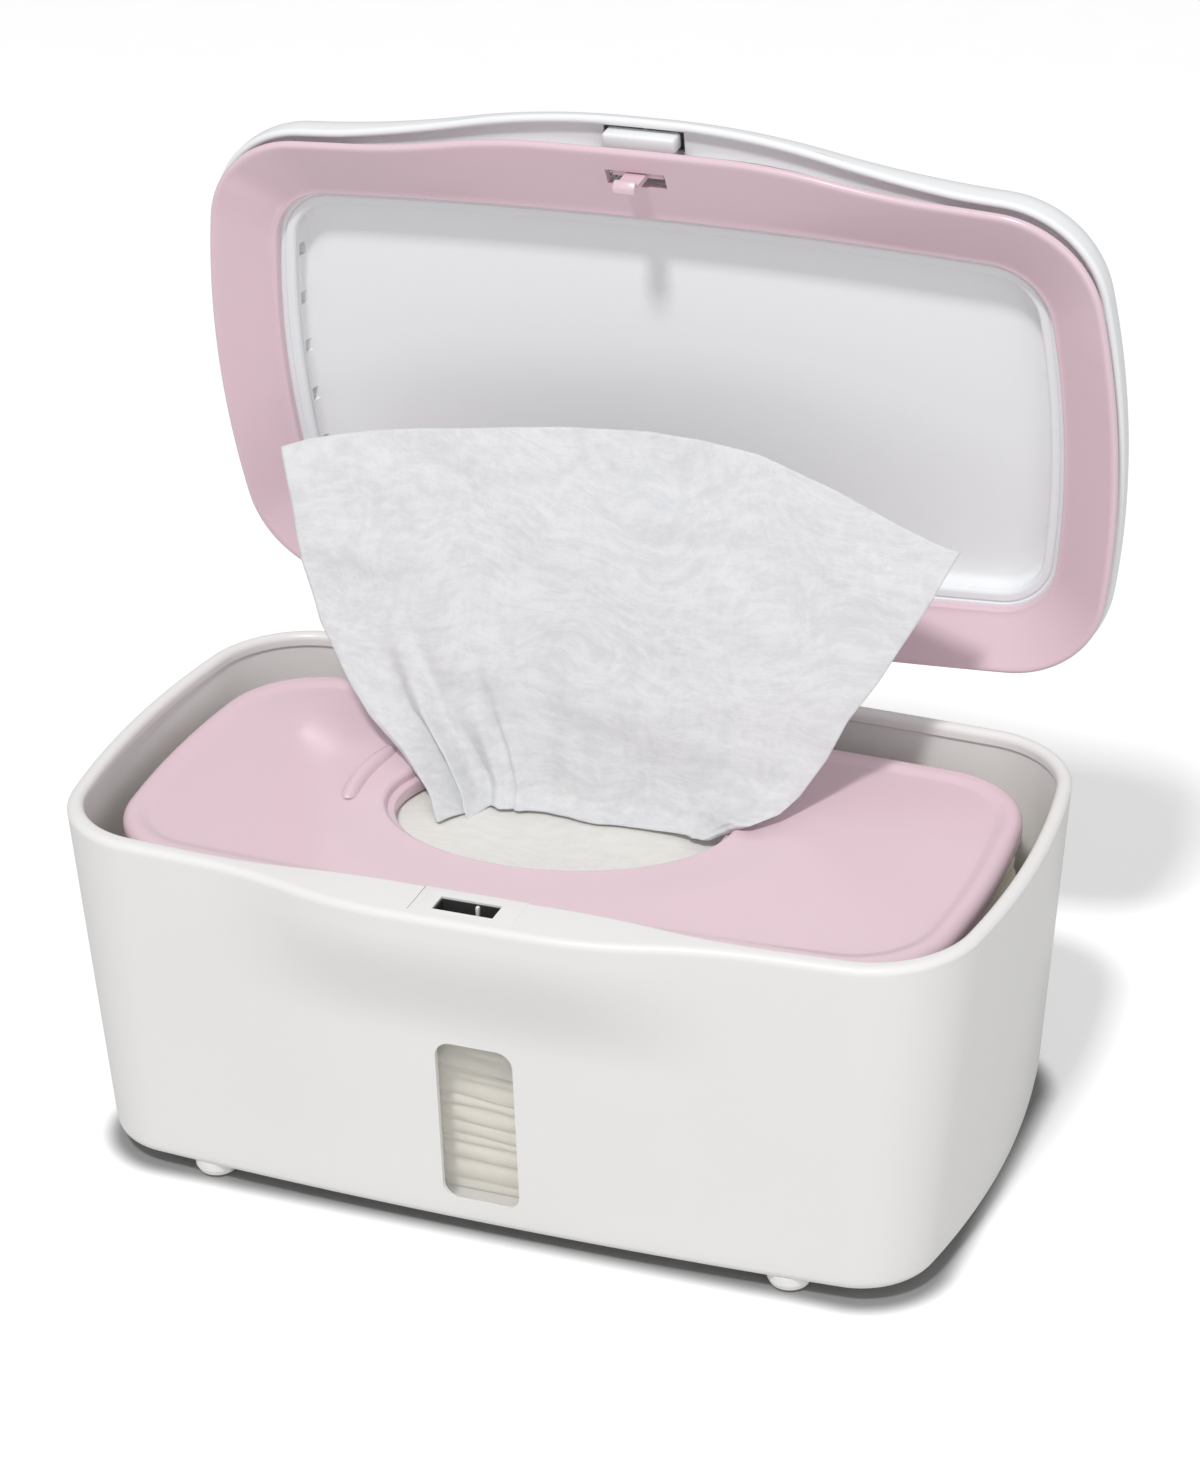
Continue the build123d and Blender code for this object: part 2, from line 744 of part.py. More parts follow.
def spring_seat():
    """Distance from the middle to the wall that the return springs push on."""
    return hook_front - hook_depth - button_travel - 2 * slide_gap


def release_button():
    """White press tab in the gap under the lid's front edge, with its stem."""
    low = button_low()
    half = button_width / 2
    head_back = button_face - button_depth
    head = block(-half, half, -button_face, -head_back, low, low + button_height)
    head = fillet(head.edges().filter_by(Axis.X), button_edge_radius)
    stem_low = low + (button_height - button_stem_height) / 2
    stem_half = button_stem_width / 2
    stem = block(-stem_half, stem_half, -head_back, -hook_front, stem_low, stem_low + button_stem_height)
    return head + stem


def hook_bar():
    """Cross bar of the hook, on which the button's stem ends."""
    half = hook_bar_width / 2
    low = button_low() - hook_bar_drop
    return block(-half, half, -hook_front, -hook_front + hook_depth, low, button_low() + button_height)


def latch_hook():
    """Hook that hangs from the button's stem through the frame's slot."""
    half = hook_width / 2
    tip = rim_height - hook_reach
    bar_low = button_low() - hook_bar_drop
    back = -hook_front + hook_depth
    body = hook_bar() + block(-half, half, -hook_front, back, tip, bar_low + hook_bar_drop)
    beak = [
        (-hook_front + hook_depth / 2, tip),
        (-hook_front, tip),
        (-hook_front - beak_reach, tip + beak_height / 2),
        (-hook_front - beak_reach, tip + beak_height),
        (-hook_front + hook_depth / 2, tip + beak_height),
    ]
    return body + side_profile(beak, -half, half)


def button_spring(side):
    """Plain sleeve in the place of one spring behind the button's head."""
    front = button_face - button_depth
    length = front - spring_seat()
    middle = (hook_bar_width / 2 + button_width / 2) / 2
    z = button_low() + button_height / 2
    tube = Cylinder(return_spring_radius, length) - Cylinder(return_spring_bore, length + 1)
    return Pos(side * middle, -front + length / 2, z) * Rot(90, 0, 0) * tube


def pieces():
    """Every piece of the dispenser, by name, in the pose with the lid open."""
    made = {
        "tub_shell": tub_shell(),
        "window_pane": window_pane(),
        "latch_catch": latch_catch(),
        "latch_socket": latch_socket(),
        "hinge_pin": hinge_pin(),
        "hinge_spring": hinge_spring(),
        "wipes_stack": wipes_stack(),
        "top_wipe": top_wipe(),
        "plate_cover": plate_cover(),
        "plate_base": plate_base(),
        "plate_weight_left": plate_weight(-1),
        "plate_weight_right": plate_weight(1),
        "pulled_wipe": pulled_wipe(),
        "lid_shell": opened(lid_shell()),
        "lid_frame": opened(lid_frame()),
        "lid_liner": opened(lid_liner()),
        "lid_gasket": opened(lid_gasket()),
        "release_button": opened(release_button()),
        "latch_hook": opened(latch_hook()),
        "button_spring_left": opened(button_spring(-1)),
        "button_spring_right": opened(button_spring(1)),
    }
    names = ("foot_front_left", "foot_front_right", "foot_back_left", "foot_back_right")
    for name, (x, y) in zip(names, foot_places()):
        made[name] = foot(x, y)
    return made


os.makedirs("parts", exist_ok=True)
for node, shape in pieces().items():
    export_step(shape, os.path.join("parts", node + ".step"))
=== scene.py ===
"""A countertop wipes dispenser with its lid open: white tub, pink weighted plate, one wipe pulled up."""

import json
import logging
import math
from dataclasses import dataclass, field
from enum import Enum
from typing import Callable, Sequence

import bmesh
import bpy
import numpy as np
from mathutils import Matrix, Vector

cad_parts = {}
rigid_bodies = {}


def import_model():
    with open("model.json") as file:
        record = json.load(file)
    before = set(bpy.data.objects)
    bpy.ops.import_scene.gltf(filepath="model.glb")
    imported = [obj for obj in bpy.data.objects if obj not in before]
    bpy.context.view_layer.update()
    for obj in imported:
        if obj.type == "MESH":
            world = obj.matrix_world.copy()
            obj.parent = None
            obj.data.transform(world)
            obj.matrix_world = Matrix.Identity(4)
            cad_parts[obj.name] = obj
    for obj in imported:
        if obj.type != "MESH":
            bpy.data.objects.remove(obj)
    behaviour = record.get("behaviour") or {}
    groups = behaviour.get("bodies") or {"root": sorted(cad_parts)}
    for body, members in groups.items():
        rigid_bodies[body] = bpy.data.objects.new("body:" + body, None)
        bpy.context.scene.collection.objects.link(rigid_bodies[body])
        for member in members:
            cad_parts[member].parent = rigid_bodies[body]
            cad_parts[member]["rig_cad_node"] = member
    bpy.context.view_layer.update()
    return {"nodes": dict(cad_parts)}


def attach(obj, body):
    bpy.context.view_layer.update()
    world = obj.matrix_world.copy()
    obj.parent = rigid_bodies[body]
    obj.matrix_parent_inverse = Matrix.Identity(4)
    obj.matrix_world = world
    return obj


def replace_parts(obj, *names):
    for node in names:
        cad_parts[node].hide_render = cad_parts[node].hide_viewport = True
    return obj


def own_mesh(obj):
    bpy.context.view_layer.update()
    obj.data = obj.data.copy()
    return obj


LOG = logging.getLogger("dispenser")
MM = 0.001
QUARTER = math.pi / 2
Points = np.ndarray
Ring = tuple[Points, float | Points]
Colour = tuple[float, float, float]
Pair = tuple[float, float]


# Shader maths


class Sock:
    """One output socket, with operators that add the nodes they stand for."""

    def __init__(self, graph: "Graph", socket: bpy.types.NodeSocket) -> None:
        """Keep the socket and the graph it belongs to.

        Args:
            graph: the material's graph.
            socket: the output that this value comes from.
        """
        self.graph = graph
        self.socket = socket

    def _math(self, operation: str, *values: object) -> "Sock":
        """Add a Math node with an operation and its inputs."""
        return self.graph.add("ShaderNodeMath", {"operation": operation}, dict(enumerate(values)))

    def __add__(self, other: object) -> "Sock":
        """Sum."""
        return self._math("ADD", self, other)

    def __radd__(self, other: object) -> "Sock":
        """Sum, reflected."""
        return self._math("ADD", other, self)

    def __sub__(self, other: object) -> "Sock":
        """Difference."""
        return self._math("SUBTRACT", self, other)

    def __rsub__(self, other: object) -> "Sock":
        """Difference, reflected."""
        return self._math("SUBTRACT", other, self)

    def __mul__(self, other: object) -> "Sock":
        """Product."""
        return self._math("MULTIPLY", self, other)

    def __rmul__(self, other: object) -> "Sock":
        """Product, reflected."""
        return self._math("MULTIPLY", other, self)

    def __abs__(self) -> "Sock":
        """Size without sign."""
        return self._math("ABSOLUTE", self)

    def most(self, other: object) -> "Sock":
        """The greater of two values."""
        return self._math("MAXIMUM", self, other)

    def root(self) -> "Sock":
        """Square root."""
        return self._math("SQRT", self)

    def ramp(self, low: float, high: float) -> "Sock":
        """A smooth step from 0 at low to 1 at high.

        Args:
            low: value that gives 0.
            high: value that gives 1.

        Returns:
            The stepped value.
        """
        settings = {"interpolation_type": "SMOOTHSTEP", "clamp": True}
        return self.graph.add("ShaderNodeMapRange", settings, {"Value": self, "From Min": low, "From Max": high})


class Graph:
    """A material's node tree with one Principled shader."""

    def __init__(self, name: str) -> None:
        """Make an empty material.

        Args:
            name: the material's name.
        """
        self.material = bpy.data.materials.new(name)
        self.material.use_nodes = True
        self.tree = self.material.node_tree
        self.tree.nodes.clear()
        self.shader = self.tree.nodes.new("ShaderNodeBsdfPrincipled")
        output = self.tree.nodes.new("ShaderNodeOutputMaterial")
        self.tree.links.new(self.shader.outputs["BSDF"], output.inputs["Surface"])

    def add(self, kind: str, settings: dict, inputs: dict, output: int | str = 0) -> Sock:
        """Add one node.

        Args:
            kind: the node's type.
            settings: its attributes, which are set before its inputs.
            inputs: values or links by socket name or number.
            output: the output to return.

        Returns:
            The chosen output.
        """
        node = self.tree.nodes.new(kind)
        for key, value in settings.items():
            setattr(node, key, value)
        for key, value in inputs.items():
            self.feed(node.inputs[key], value)
        return Sock(self, node.outputs[output])

    def output_of(self, value: Sock, name: str) -> Sock:
        """Another output of the node that a value comes from."""
        return Sock(self, value.socket.node.outputs[name])

    def feed(self, socket: bpy.types.NodeSocket, value: object) -> None:
        """Link a value to a socket, or set it there.

        Args:
            socket: the input.
            value: another socket, a number, or a colour or vector.
        """
        if isinstance(value, Sock):
            self.tree.links.new(value.socket, socket)
        elif isinstance(value, (tuple, list)) and len(value) == 3 and socket.type == "RGBA":
            socket.default_value = (*value, 1.0)
        else:
            socket.default_value = value

    def set(self, **inputs: object) -> None:
        """Feed the shader's own sockets, named with underscores for spaces."""
        for key, value in inputs.items():
            self.feed(self.shader.inputs[key.replace("_", " ")], value)

    def place(self) -> Sock:
        """The point on the object, in metres."""
        return self.add("ShaderNodeTexCoord", {}, {}, "Object")

    def noise(self, vector: object, scale: float, detail: float = 3.0, rough: float = 0.55) -> Sock:
        """Fractal noise.

        Args:
            vector: where to read it.
            scale: its scale per metre.
            detail: its octaves.
            rough: how strong the fine octaves are.

        Returns:
            The noise's value.
        """
        inputs = {"Vector": vector, "Scale": scale, "Detail": detail, "Roughness": rough}
        return self.add("ShaderNodeTexNoise", {}, inputs)

    def stretch(self, vector: object, factors: tuple[float, float, float], turn: float = 0.0) -> Sock:
        """The vector stretched along its axes, after a turn about Y.

        Args:
            vector: the vector.
            factors: scale of each axis.
            turn: angle in radians.

        Returns:
            The new vector.
        """
        inputs = {"Vector": vector, "Scale": factors, "Rotation": (0.0, turn, 0.0)}
        return self.add("ShaderNodeMapping", {"vector_type": "POINT"}, inputs)

    def mix(self, factor: object, first: object, second: object) -> Sock:
        """A colour between two colours.

        Args:
            factor: 0 for the first, 1 for the second.
            first: colour.
            second: colour.

        Returns:
            The mixed colour.
        """
        return self.add("ShaderNodeMix", {"data_type": "RGBA"}, {0: factor, 6: first, 7: second}, 2)

    def bump(self, height: Sock, distance: float, strength: float = 1.0) -> None:
        """Raise the surface by a height.

        Args:
            height: the height, from 0 to 1.
            distance: what 1 stands for, in metres.
            strength: share of the effect.
        """
        inputs = {"Height": height, "Distance": distance, "Strength": strength}
        self.set(Normal=self.add("ShaderNodeBump", {}, inputs))


# Finishes


@dataclass(frozen=True)
class Surface:
    """What all finishes share: a name and a way to make the material."""

    name: str

    def make(self) -> bpy.types.Material:
        """Build the material.

        Returns:
            The material.
        """
        graph = Graph(self.name)
        self.dress(graph, graph.place())
        return graph.material

    def dress(self, graph: Graph, place: Sock) -> None:
        """Add the nodes that give the surface its look.

        Args:
            graph: the material's graph.
            place: the point on the object.
        """
        raise NotImplementedError


@dataclass(frozen=True)
class MouldedPlastic(Surface):
    """Injection-moulded plastic with a faint unevenness from the tool."""

    colour: Colour
    shade: Colour
    roughness: float = 0.34
    coat: float = 0.15
    ripple: float = 0.00004

    def dress(self, graph: Graph, place: Sock) -> None:
        """Add the nodes that give the surface its look.

        Args:
            graph: the material's graph.
            place: the point on the object.
        """
        broad = graph.noise(place, 14.0, 2.0)
        fine = graph.noise(place, 260.0, 2.0)
        graph.set(Base_Color=graph.mix(broad.ramp(0.3, 0.75), self.colour, self.shade))
        graph.set(Roughness=self.roughness + (fine - 0.5) * 0.03 + (broad - 0.5) * 0.06)
        graph.set(Coat_Weight=self.coat, Coat_Roughness=0.12, IOR=1.48)
        graph.bump(broad, self.ripple)


@dataclass(frozen=True)
class ClearPlastic(Surface):
    """Clear window plastic."""

    name: str = "clear_window"

    def dress(self, graph: Graph, place: Sock) -> None:
        """Add the nodes that give the surface its look.

        Args:
            graph: the material's graph.
            place: the point on the object.
        """
        haze = graph.noise(place, 60.0, 2.0)
        graph.set(Base_Color=graph.mix(haze, (0.93, 0.92, 0.89), (0.97, 0.96, 0.94)))
        graph.set(Roughness=0.05 + haze * 0.04, IOR=1.3, Alpha=0.16)


@dataclass(frozen=True)
class SoftRubber(Surface):
    """Soft pale or translucent rubber."""

    colour: Colour
    roughness: float = 0.5

    def dress(self, graph: Graph, place: Sock) -> None:
        """Add the nodes that give the surface its look.

        Args:
            graph: the material's graph.
            place: the point on the object.
        """
        cloud = graph.noise(place, 70.0, 3.0)
        dust = graph.noise(place, 1500.0, 2.0)
        deep = tuple(0.93 * c for c in self.colour)
        graph.set(Base_Color=graph.mix(cloud, self.colour, deep))
        graph.set(Roughness=self.roughness + (dust - 0.5) * 0.12, IOR=1.42)
        graph.set(Subsurface_Weight=0.3, Subsurface_Radius=(1.0, 0.9, 0.85), Subsurface_Scale=0.002)
        graph.bump(dust, 0.00002)


@dataclass(frozen=True)
class Steel(Surface):
    """Drawn steel of the pin, springs and weights."""

    name: str = "drawn_steel"

    def dress(self, graph: Graph, place: Sock) -> None:
        """Add the nodes that give the surface its look.

        Args:
            graph: the material's graph.
            place: the point on the object.
        """
        lines = graph.noise(graph.stretch(place, (0.05, 1.0, 1.0)), 2500.0, 2.0)
        graph.set(Base_Color=graph.mix(lines, (0.55, 0.55, 0.56), (0.68, 0.68, 0.69)))
        graph.set(Roughness=0.28 + lines * 0.12, Metallic=1.0)
        graph.bump(lines, 0.00002)


@dataclass(frozen=True)
class NonWoven(Surface):
    """Spun non-woven cloth: matted fibres with cloudy thick and thin places."""

    colour: Colour
    shade: Colour
    depth: float = 0.00025
    lie: float = 0.5
    cover: float = 1.0

    def dress(self, graph: Graph, place: Sock) -> None:
        """Add the nodes that give the surface its look.

        Args:
            graph: the material's graph.
            place: the point on the object.
        """
        bend = graph.add("ShaderNodeTexNoise", {}, {"Vector": place, "Scale": 19.0, "Detail": 2.0}, "Color")
        swirl = graph.add(
            "ShaderNodeVectorMath", {"operation": "MULTIPLY_ADD"}, {0: bend, 1: (0.035, 0.035, 0.035), 2: place}
        )
        lying = graph.stretch(swirl, (0.28, 1.0, 1.0), self.lie)
        fibres = graph.noise(lying, 430.0, 6.0, 0.7)
        crossed = graph.noise(graph.stretch(swirl, (1.0, 1.0, 0.4), -0.5), 380.0, 5.0, 0.62)
        clouds = graph.noise(place, 26.0, 4.0, 0.6)
        matted = fibres * 0.55 + crossed * 0.25 + clouds * 0.2
        graph.set(Base_Color=graph.mix(matted.ramp(0.38, 0.62), self.shade, self.colour))
        graph.set(Roughness=0.86 + fibres * 0.1, Sheen_Weight=0.15, Sheen_Roughness=0.5, Alpha=self.cover)
        graph.set(Subsurface_Weight=0.25, Subsurface_Radius=(1.0, 1.0, 1.0), Subsurface_Scale=0.0015)
        graph.bump(fibres * 0.6 + crossed * 0.3 + clouds * 0.5, self.depth, 0.8)


class Finish(Enum):
    """Every finish on the dispenser, with the record's slot that it belongs to."""

    TUB = ("white_plastic", MouldedPlastic("tub_white", (0.84, 0.832, 0.817), (0.825, 0.817, 0.802), 0.36, 0.1))
    LID = ("lid_white", MouldedPlastic("lid_white", (0.915, 0.908, 0.893), (0.90, 0.893, 0.878), 0.3, 0.15))
    PINK = ("pink_plastic", MouldedPlastic("pink_gloss", (0.775, 0.586, 0.648), (0.76, 0.572, 0.634), 0.24, 0.3))
    WINDOW = ("clear_plastic", ClearPlastic())
    # Near black: painted shade that makes the hollow under the latch's slot read as a deep shadow.
    DARK = ("dark_plastic", MouldedPlastic("dark_plastic", (0.012, 0.012, 0.012), (0.02, 0.02, 0.02), 0.5, 0.0))
    FEET = ("soft_feet", SoftRubber("soft_feet", (0.8, 0.79, 0.77), 0.55))
    GASKET = ("gasket_rubber", SoftRubber("gasket_rubber", (0.80, 0.83, 0.86), 0.35))
    STEEL = ("steel", Steel())
    WIPE = ("wipe_cloth", NonWoven("wipe_fibres", (0.805, 0.81, 0.82), (0.69, 0.705, 0.73), 0.0004, 0.5, 0.93))
    FLAT_WIPE = ("wipe_cloth", NonWoven("flat_wipe", (0.79, 0.78, 0.74), (0.73, 0.72, 0.68), 0.0002))
    # Far lighter than the other wipe_cloth finishes: the extra lightness is painted light, standing in for light
    # that the inside of the tub lacks.
    STACK = ("wipe_cloth", NonWoven("stacked_wipes", (0.98, 0.93, 0.82), (0.95, 0.885, 0.75), 0.0002))

    def apply(self, piece: bpy.types.Object) -> bpy.types.Object:
        """Give a piece this finish.

        Args:
            piece: a mesh object.

        Returns:
            The piece.
        """
        slot_name, recipe = self.value
        material = bpy.data.materials.get(recipe.name) or recipe.make()
        piece.data.materials.clear()
        piece.data.materials.append(material)
        return piece


# Plans and skins


def smooth(t: Points) -> Points:
    """A smooth step of t from 0 to 1."""
    t = np.clip(t, 0.0, 1.0)
    return t * t * (3 - 2 * t)


@dataclass(frozen=True)
class Loop:
    """A closed line in plan with its outward directions."""

    points: Points
    outward: Points

    @classmethod
    def closed(cls, points: Points) -> "Loop":
        """A loop through points, with directions worked out from its neighbours.

        Args:
            points: an (n, 2) array, counter-clockwise.

        Returns:
            The loop.
        """
        along = np.roll(points, -1, axis=0) - np.roll(points, 1, axis=0)
        along /= np.linalg.norm(along, axis=1)[:, None]
        return cls(points, np.column_stack([along[:, 1], -along[:, 0]]))

    def inset(self, amount: float | Points) -> Points:
        """The loop's points moved in.

        Args:
            amount: distance in millimetres, one or one for each point.

        Returns:
            The moved points.
        """
        amount = np.broadcast_to(amount, len(self.points))
        return self.points - self.outward * amount[:, None]


@dataclass(frozen=True)
class Plan:
    """A plan outline with bowed sides, round corners and a swelling in front, in millimetres."""

    half_w: float
    half_d: float
    corner: float
    bulge: float = 0.0
    shift: float = 0.0
    front_bow: float = 1400.0
    side_bow: float = 235.0
    flat_half: float = 18.0
    foot_gap: float = 18.0

    def _corner(self) -> tuple[Points, Points, Points]:
        """The arc of the first corner.

        Returns:
            Its centre and its ends on the back and on the side.
        """
        far = np.array([0.0, self.half_d - self.front_bow])
        near = np.array([self.half_w - self.side_bow, 0.0])
        reach_far = self.front_bow - self.corner
        reach_near = self.side_bow - self.corner
        line = near - far
        span = np.linalg.norm(line)
        along = (span**2 + reach_far**2 - reach_near**2) / (2 * span)
        aside = math.sqrt(reach_far**2 - along**2)
        unit = line / span
        centre = far + unit * along + np.array([unit[1], -unit[0]]) * aside
        on_back = centre + (centre - far) / reach_far * self.corner
        on_side = centre + (centre - near) / reach_near * self.corner
        return centre, on_back, on_side

    def loop(self) -> Loop:
        """The outline as a loop that has the same number of points for every plan.

        Returns:
            The loop, counter-clockwise from the middle of the right side.
        """
        centre, on_back, on_side = self._corner()
        turn = [math.atan2(*(p - centre)[::-1]) for p in (on_side, on_back)]
        side_y = np.linspace(0, on_side[1], 22)[:-1]
        side_x = self.half_w - (self.side_bow - np.sqrt(self.side_bow**2 - side_y**2))
        angles = np.linspace(turn[0], turn[1], 23)[:-1]
        arc = centre + self.corner * np.column_stack([np.cos(angles), np.sin(angles)])
        foot = on_back[0] - self.foot_gap
        flat = self.flat_half
        steps = [(on_back[0], foot, 8), (foot, flat, 34), (flat, 0.0, 12)]
        across = np.concatenate([np.linspace(a, b, n + 1)[:-1] for a, b, n in steps])
        bow = self.half_d - (self.front_bow - np.sqrt(self.front_bow**2 - across**2))
        quarter = np.vstack([np.column_stack([side_x, side_y]), arc, np.column_stack([across, bow])])
        middle = np.array([[0.0, self.half_d]])
        back = np.vstack([quarter, middle, (quarter * [-1, 1])[:0:-1]])
        t = np.clip((foot - across) / (foot - flat), 0, 1)
        rise = np.where(t < 0.5, 2 * t * t, 1 - 2 * (1 - t) ** 2)
        swollen = np.column_stack([across, bow + self.bulge * rise])
        lower = np.vstack([quarter[: len(side_y) + len(arc)], swollen])
        tip = np.array([[0.0, self.half_d + self.bulge]])
        front = np.vstack([lower * [-1, -1], -tip, (lower * [1, -1])[:0:-1]])
        return Loop.closed(np.vstack([back, front]) + [0.0, self.shift])


@dataclass(frozen=True)
class Oval:
    """The plate's oval opening, in millimetres."""

    centre: tuple[float, float] = (-4.2, 4.5)
    half: tuple[float, float] = (43.35, 30.15)
    turn: float = math.radians(4.9)

    def point(self, angles: Points, grow: float = 0.0) -> Points:
        """Points of the oval at the given angles.

        Args:
            angles: angles of the oval's own parameter.
            grow: amount by which it is larger all round.

        Returns:
            The points.
        """
        x = (self.half[0] + grow) * np.cos(angles)
        y = (self.half[1] + grow) * np.sin(angles)
        c, s = math.cos(self.turn), math.sin(self.turn)
        return np.column_stack([x * c - y * s, x * s + y * c]) + self.centre

    def matching(self, outer: Loop) -> Points:
        """Angles of the oval that lie opposite the points of an outer loop.

        Args:
            outer: the loop around the oval.

        Returns:
            One angle for each point.
        """
        away = outer.points - self.centre
        c, s = math.cos(self.turn), math.sin(self.turn)
        x = (away[:, 0] * c + away[:, 1] * s) / self.half[0]
        y = (away[:, 1] * c - away[:, 0] * s) / self.half[1]
        return np.arctan2(y, x)


def skin(name: str, rings: Sequence[Ring], sharp: float = 50.0, caps: bool = True) -> bpy.types.Object:
    """A mesh of closed rings in plan, each joined to the next.

    Args:
        name: the piece's name.
        rings: plan points and height of each, with the same number of points.
        sharp: angle in degrees above which an edge stays sharp.
        caps: True to cap the ends, False to join the last ring to the first.

    Returns:
        The object.
    """
    return tube(name, [np.column_stack([plan, np.broadcast_to(z, len(plan))]) for plan, z in rings], sharp, caps)


def tube(name: str, sections: Sequence[Points], sharp: float = 50.0, caps: bool = True) -> bpy.types.Object:
    """A mesh of closed sections in space, each joined to the next.

    Args:
        name: the piece's name.
        sections: (n, 3) points of each.
        sharp: angle in degrees above which an edge stays sharp.
        caps: True to cap the ends, False to join the last section to the first.

    Returns:
        The object.
    """
    n = len(sections[0])
    starts = [n * i for i in range(len(sections))]
    pairs = list(zip(starts, starts[1:]))
    if not caps:
        pairs.append((starts[-1], 0))
    faces = [(low + i, low + (i + 1) % n, high + (i + 1) % n, high + i) for low, high in pairs for i in range(n)]
    if caps:
        faces += [tuple(reversed(range(n))), tuple(range(starts[-1], starts[-1] + n))]
    return make_mesh(name, np.vstack(sections), faces, sharp)


def sheet_solid(name: str, front: Points, back: Points, rows: int, columns: int) -> bpy.types.Object:
    """A thin closed sheet between two grids of points.

    Args:
        name: the piece's name.
        front: (rows * columns, 3) points.
        back: as many points behind them.
        rows: rows of the grid.
        columns: its columns.

    Returns:
        The object.
    """
    grid = np.arange(rows * columns).reshape(rows, columns)
    offset = len(front)
    faces = []
    for i in range(rows - 1):
        for j in range(columns - 1):
            a, b, c, d = grid[i, j], grid[i, j + 1], grid[i + 1, j + 1], grid[i + 1, j]
            faces += [(a, b, c, d), (offset + d, offset + c, offset + b, offset + a)]
    border = [*grid[0, :], *grid[1:, -1], *grid[-1, -2::-1], *grid[-2:0:-1, 0]]
    faces += [(b, a, offset + a, offset + b) for a, b in zip(border, border[1:] + border[:1])]
    return make_mesh(name, np.vstack([front, back]), faces, 180.0)


def make_mesh(name: str, points: Points, faces: Sequence[Sequence[int]], sharp: float = 40.0) -> bpy.types.Object:
    """Make a smooth-shaded mesh object from points in millimetres.

    Args:
        name: the piece's name.
        points: (n, 3) points.
        faces: lists of point numbers.
        sharp: angle in degrees above which an edge stays sharp.

    Returns:
        The object.
    """
    mesh = bpy.data.meshes.new(name)
    mesh.from_pydata((np.asarray(points) * MM).tolist(), [], [tuple(f) for f in faces])
    work = bmesh.new()
    work.from_mesh(mesh)
    bmesh.ops.remove_doubles(work, verts=work.verts, dist=1e-7)
    bmesh.ops.recalc_face_normals(work, faces=work.faces)
    work.to_mesh(mesh)
    work.free()
    finish_shading(mesh, sharp)
    piece = bpy.data.objects.new(name, mesh)
    bpy.context.scene.collection.objects.link(piece)
    return piece


def finish_shading(mesh: bpy.types.Mesh, sharp: float = 40.0) -> None:
    """Shade a mesh smooth, apart from its sharp edges.

    Args:
        mesh: the mesh.
        sharp: angle in degrees above which an edge stays sharp.
    """
    mesh.polygons.foreach_set("use_smooth", [True] * len(mesh.polygons))
    mesh.set_sharp_from_angle(angle=math.radians(sharp))
    mesh.update()


def apply_modifiers(piece: bpy.types.Object) -> None:
    """Turn a piece's modifiers into its mesh.

    Args:
        piece: the piece.
    """
    bpy.context.view_layer.update()
    graph = bpy.context.evaluated_depsgraph_get()
    mesh = bpy.data.meshes.new_from_object(piece.evaluated_get(graph))
    old = piece.data
    piece.modifiers.clear()
    piece.data = mesh
    mesh.name = piece.name
    bpy.data.meshes.remove(old)


class Cut(Enum):
    """How one solid changes another."""

    AWAY = "DIFFERENCE"
    ONTO = "UNION"


def combine(piece: bpy.types.Object, tools: Sequence[bpy.types.Object], how: Cut, sharp: float = 40.0) -> None:
    """Cut solids out of a piece or join them to it, and delete them.

    Args:
        piece: the piece that changes.
        tools: closed meshes.
        how: cut away or join.
        sharp: angle in degrees above which an edge stays sharp.
    """
    for tool in tools:
        change = piece.modifiers.new("combine", "BOOLEAN")
        change.operation = how.value
        change.solver = "EXACT"
        change.object = tool
        apply_modifiers(piece)
        mesh = tool.data
        bpy.data.objects.remove(tool)
        bpy.data.meshes.remove(mesh)
    finish_shading(piece.data, sharp)


def soft_box(name: str, low: Sequence[float], high: Sequence[float], radius: float = 0.0) -> bpy.types.Object:
    """A box with rounded edges, given by its corners in millimetres.

    Args:
        name: the piece's name.
        low: lowest corner.
        high: highest corner.
        radius: radius of its edges.

    Returns:
        The object.
    """
    corners = np.array([[x, y, z] for x in (0, 1) for y in (0, 1) for z in (0, 1)], float)
    points = np.array(low) + corners * (np.array(high) - np.array(low))
    faces = [(0, 1, 3, 2), (4, 6, 7, 5), (0, 4, 5, 1), (2, 3, 7, 6), (0, 2, 6, 4), (1, 5, 7, 3)]
    piece = make_mesh(name, points, faces, 30.0)
    if radius:
        soften(piece, radius)
    return piece


def soften(piece: bpy.types.Object, radius: float, steps: int = 3) -> None:
    """Round a piece's sharp edges.

    Args:
        piece: the piece.
        radius: radius in millimetres.
        steps: segments of each rounding.
    """
    change = piece.modifiers.new("round", "BEVEL")
    change.width = radius * MM
    change.segments = steps
    change.limit_method = "ANGLE"
    change.angle_limit = math.radians(30.0)
    change.use_clamp_overlap = True
    apply_modifiers(piece)
    finish_shading(piece.data, 50.0)


def rounded_rectangle(width: float, height: float, radius: float, steps: int = 10) -> Points:
    """Points of a rectangle with round corners about the origin.

    Args:
        width: its width.
        height: its height.
        radius: radius of its corners.
        steps: segments of each corner.

    Returns:
        (n, 2) points, counter-clockwise.
    """
    out = []
    for quarter, (sx, sy) in enumerate(((1, 1), (-1, 1), (-1, -1), (1, -1))):
        centre = np.array([sx * (width / 2 - radius), sy * (height / 2 - radius)])
        angles = np.linspace(0, QUARTER, steps + 1) + quarter * math.pi / 2
        out.append(centre + radius * np.column_stack([np.cos(angles), np.sin(angles)]))
    return np.vstack(out)


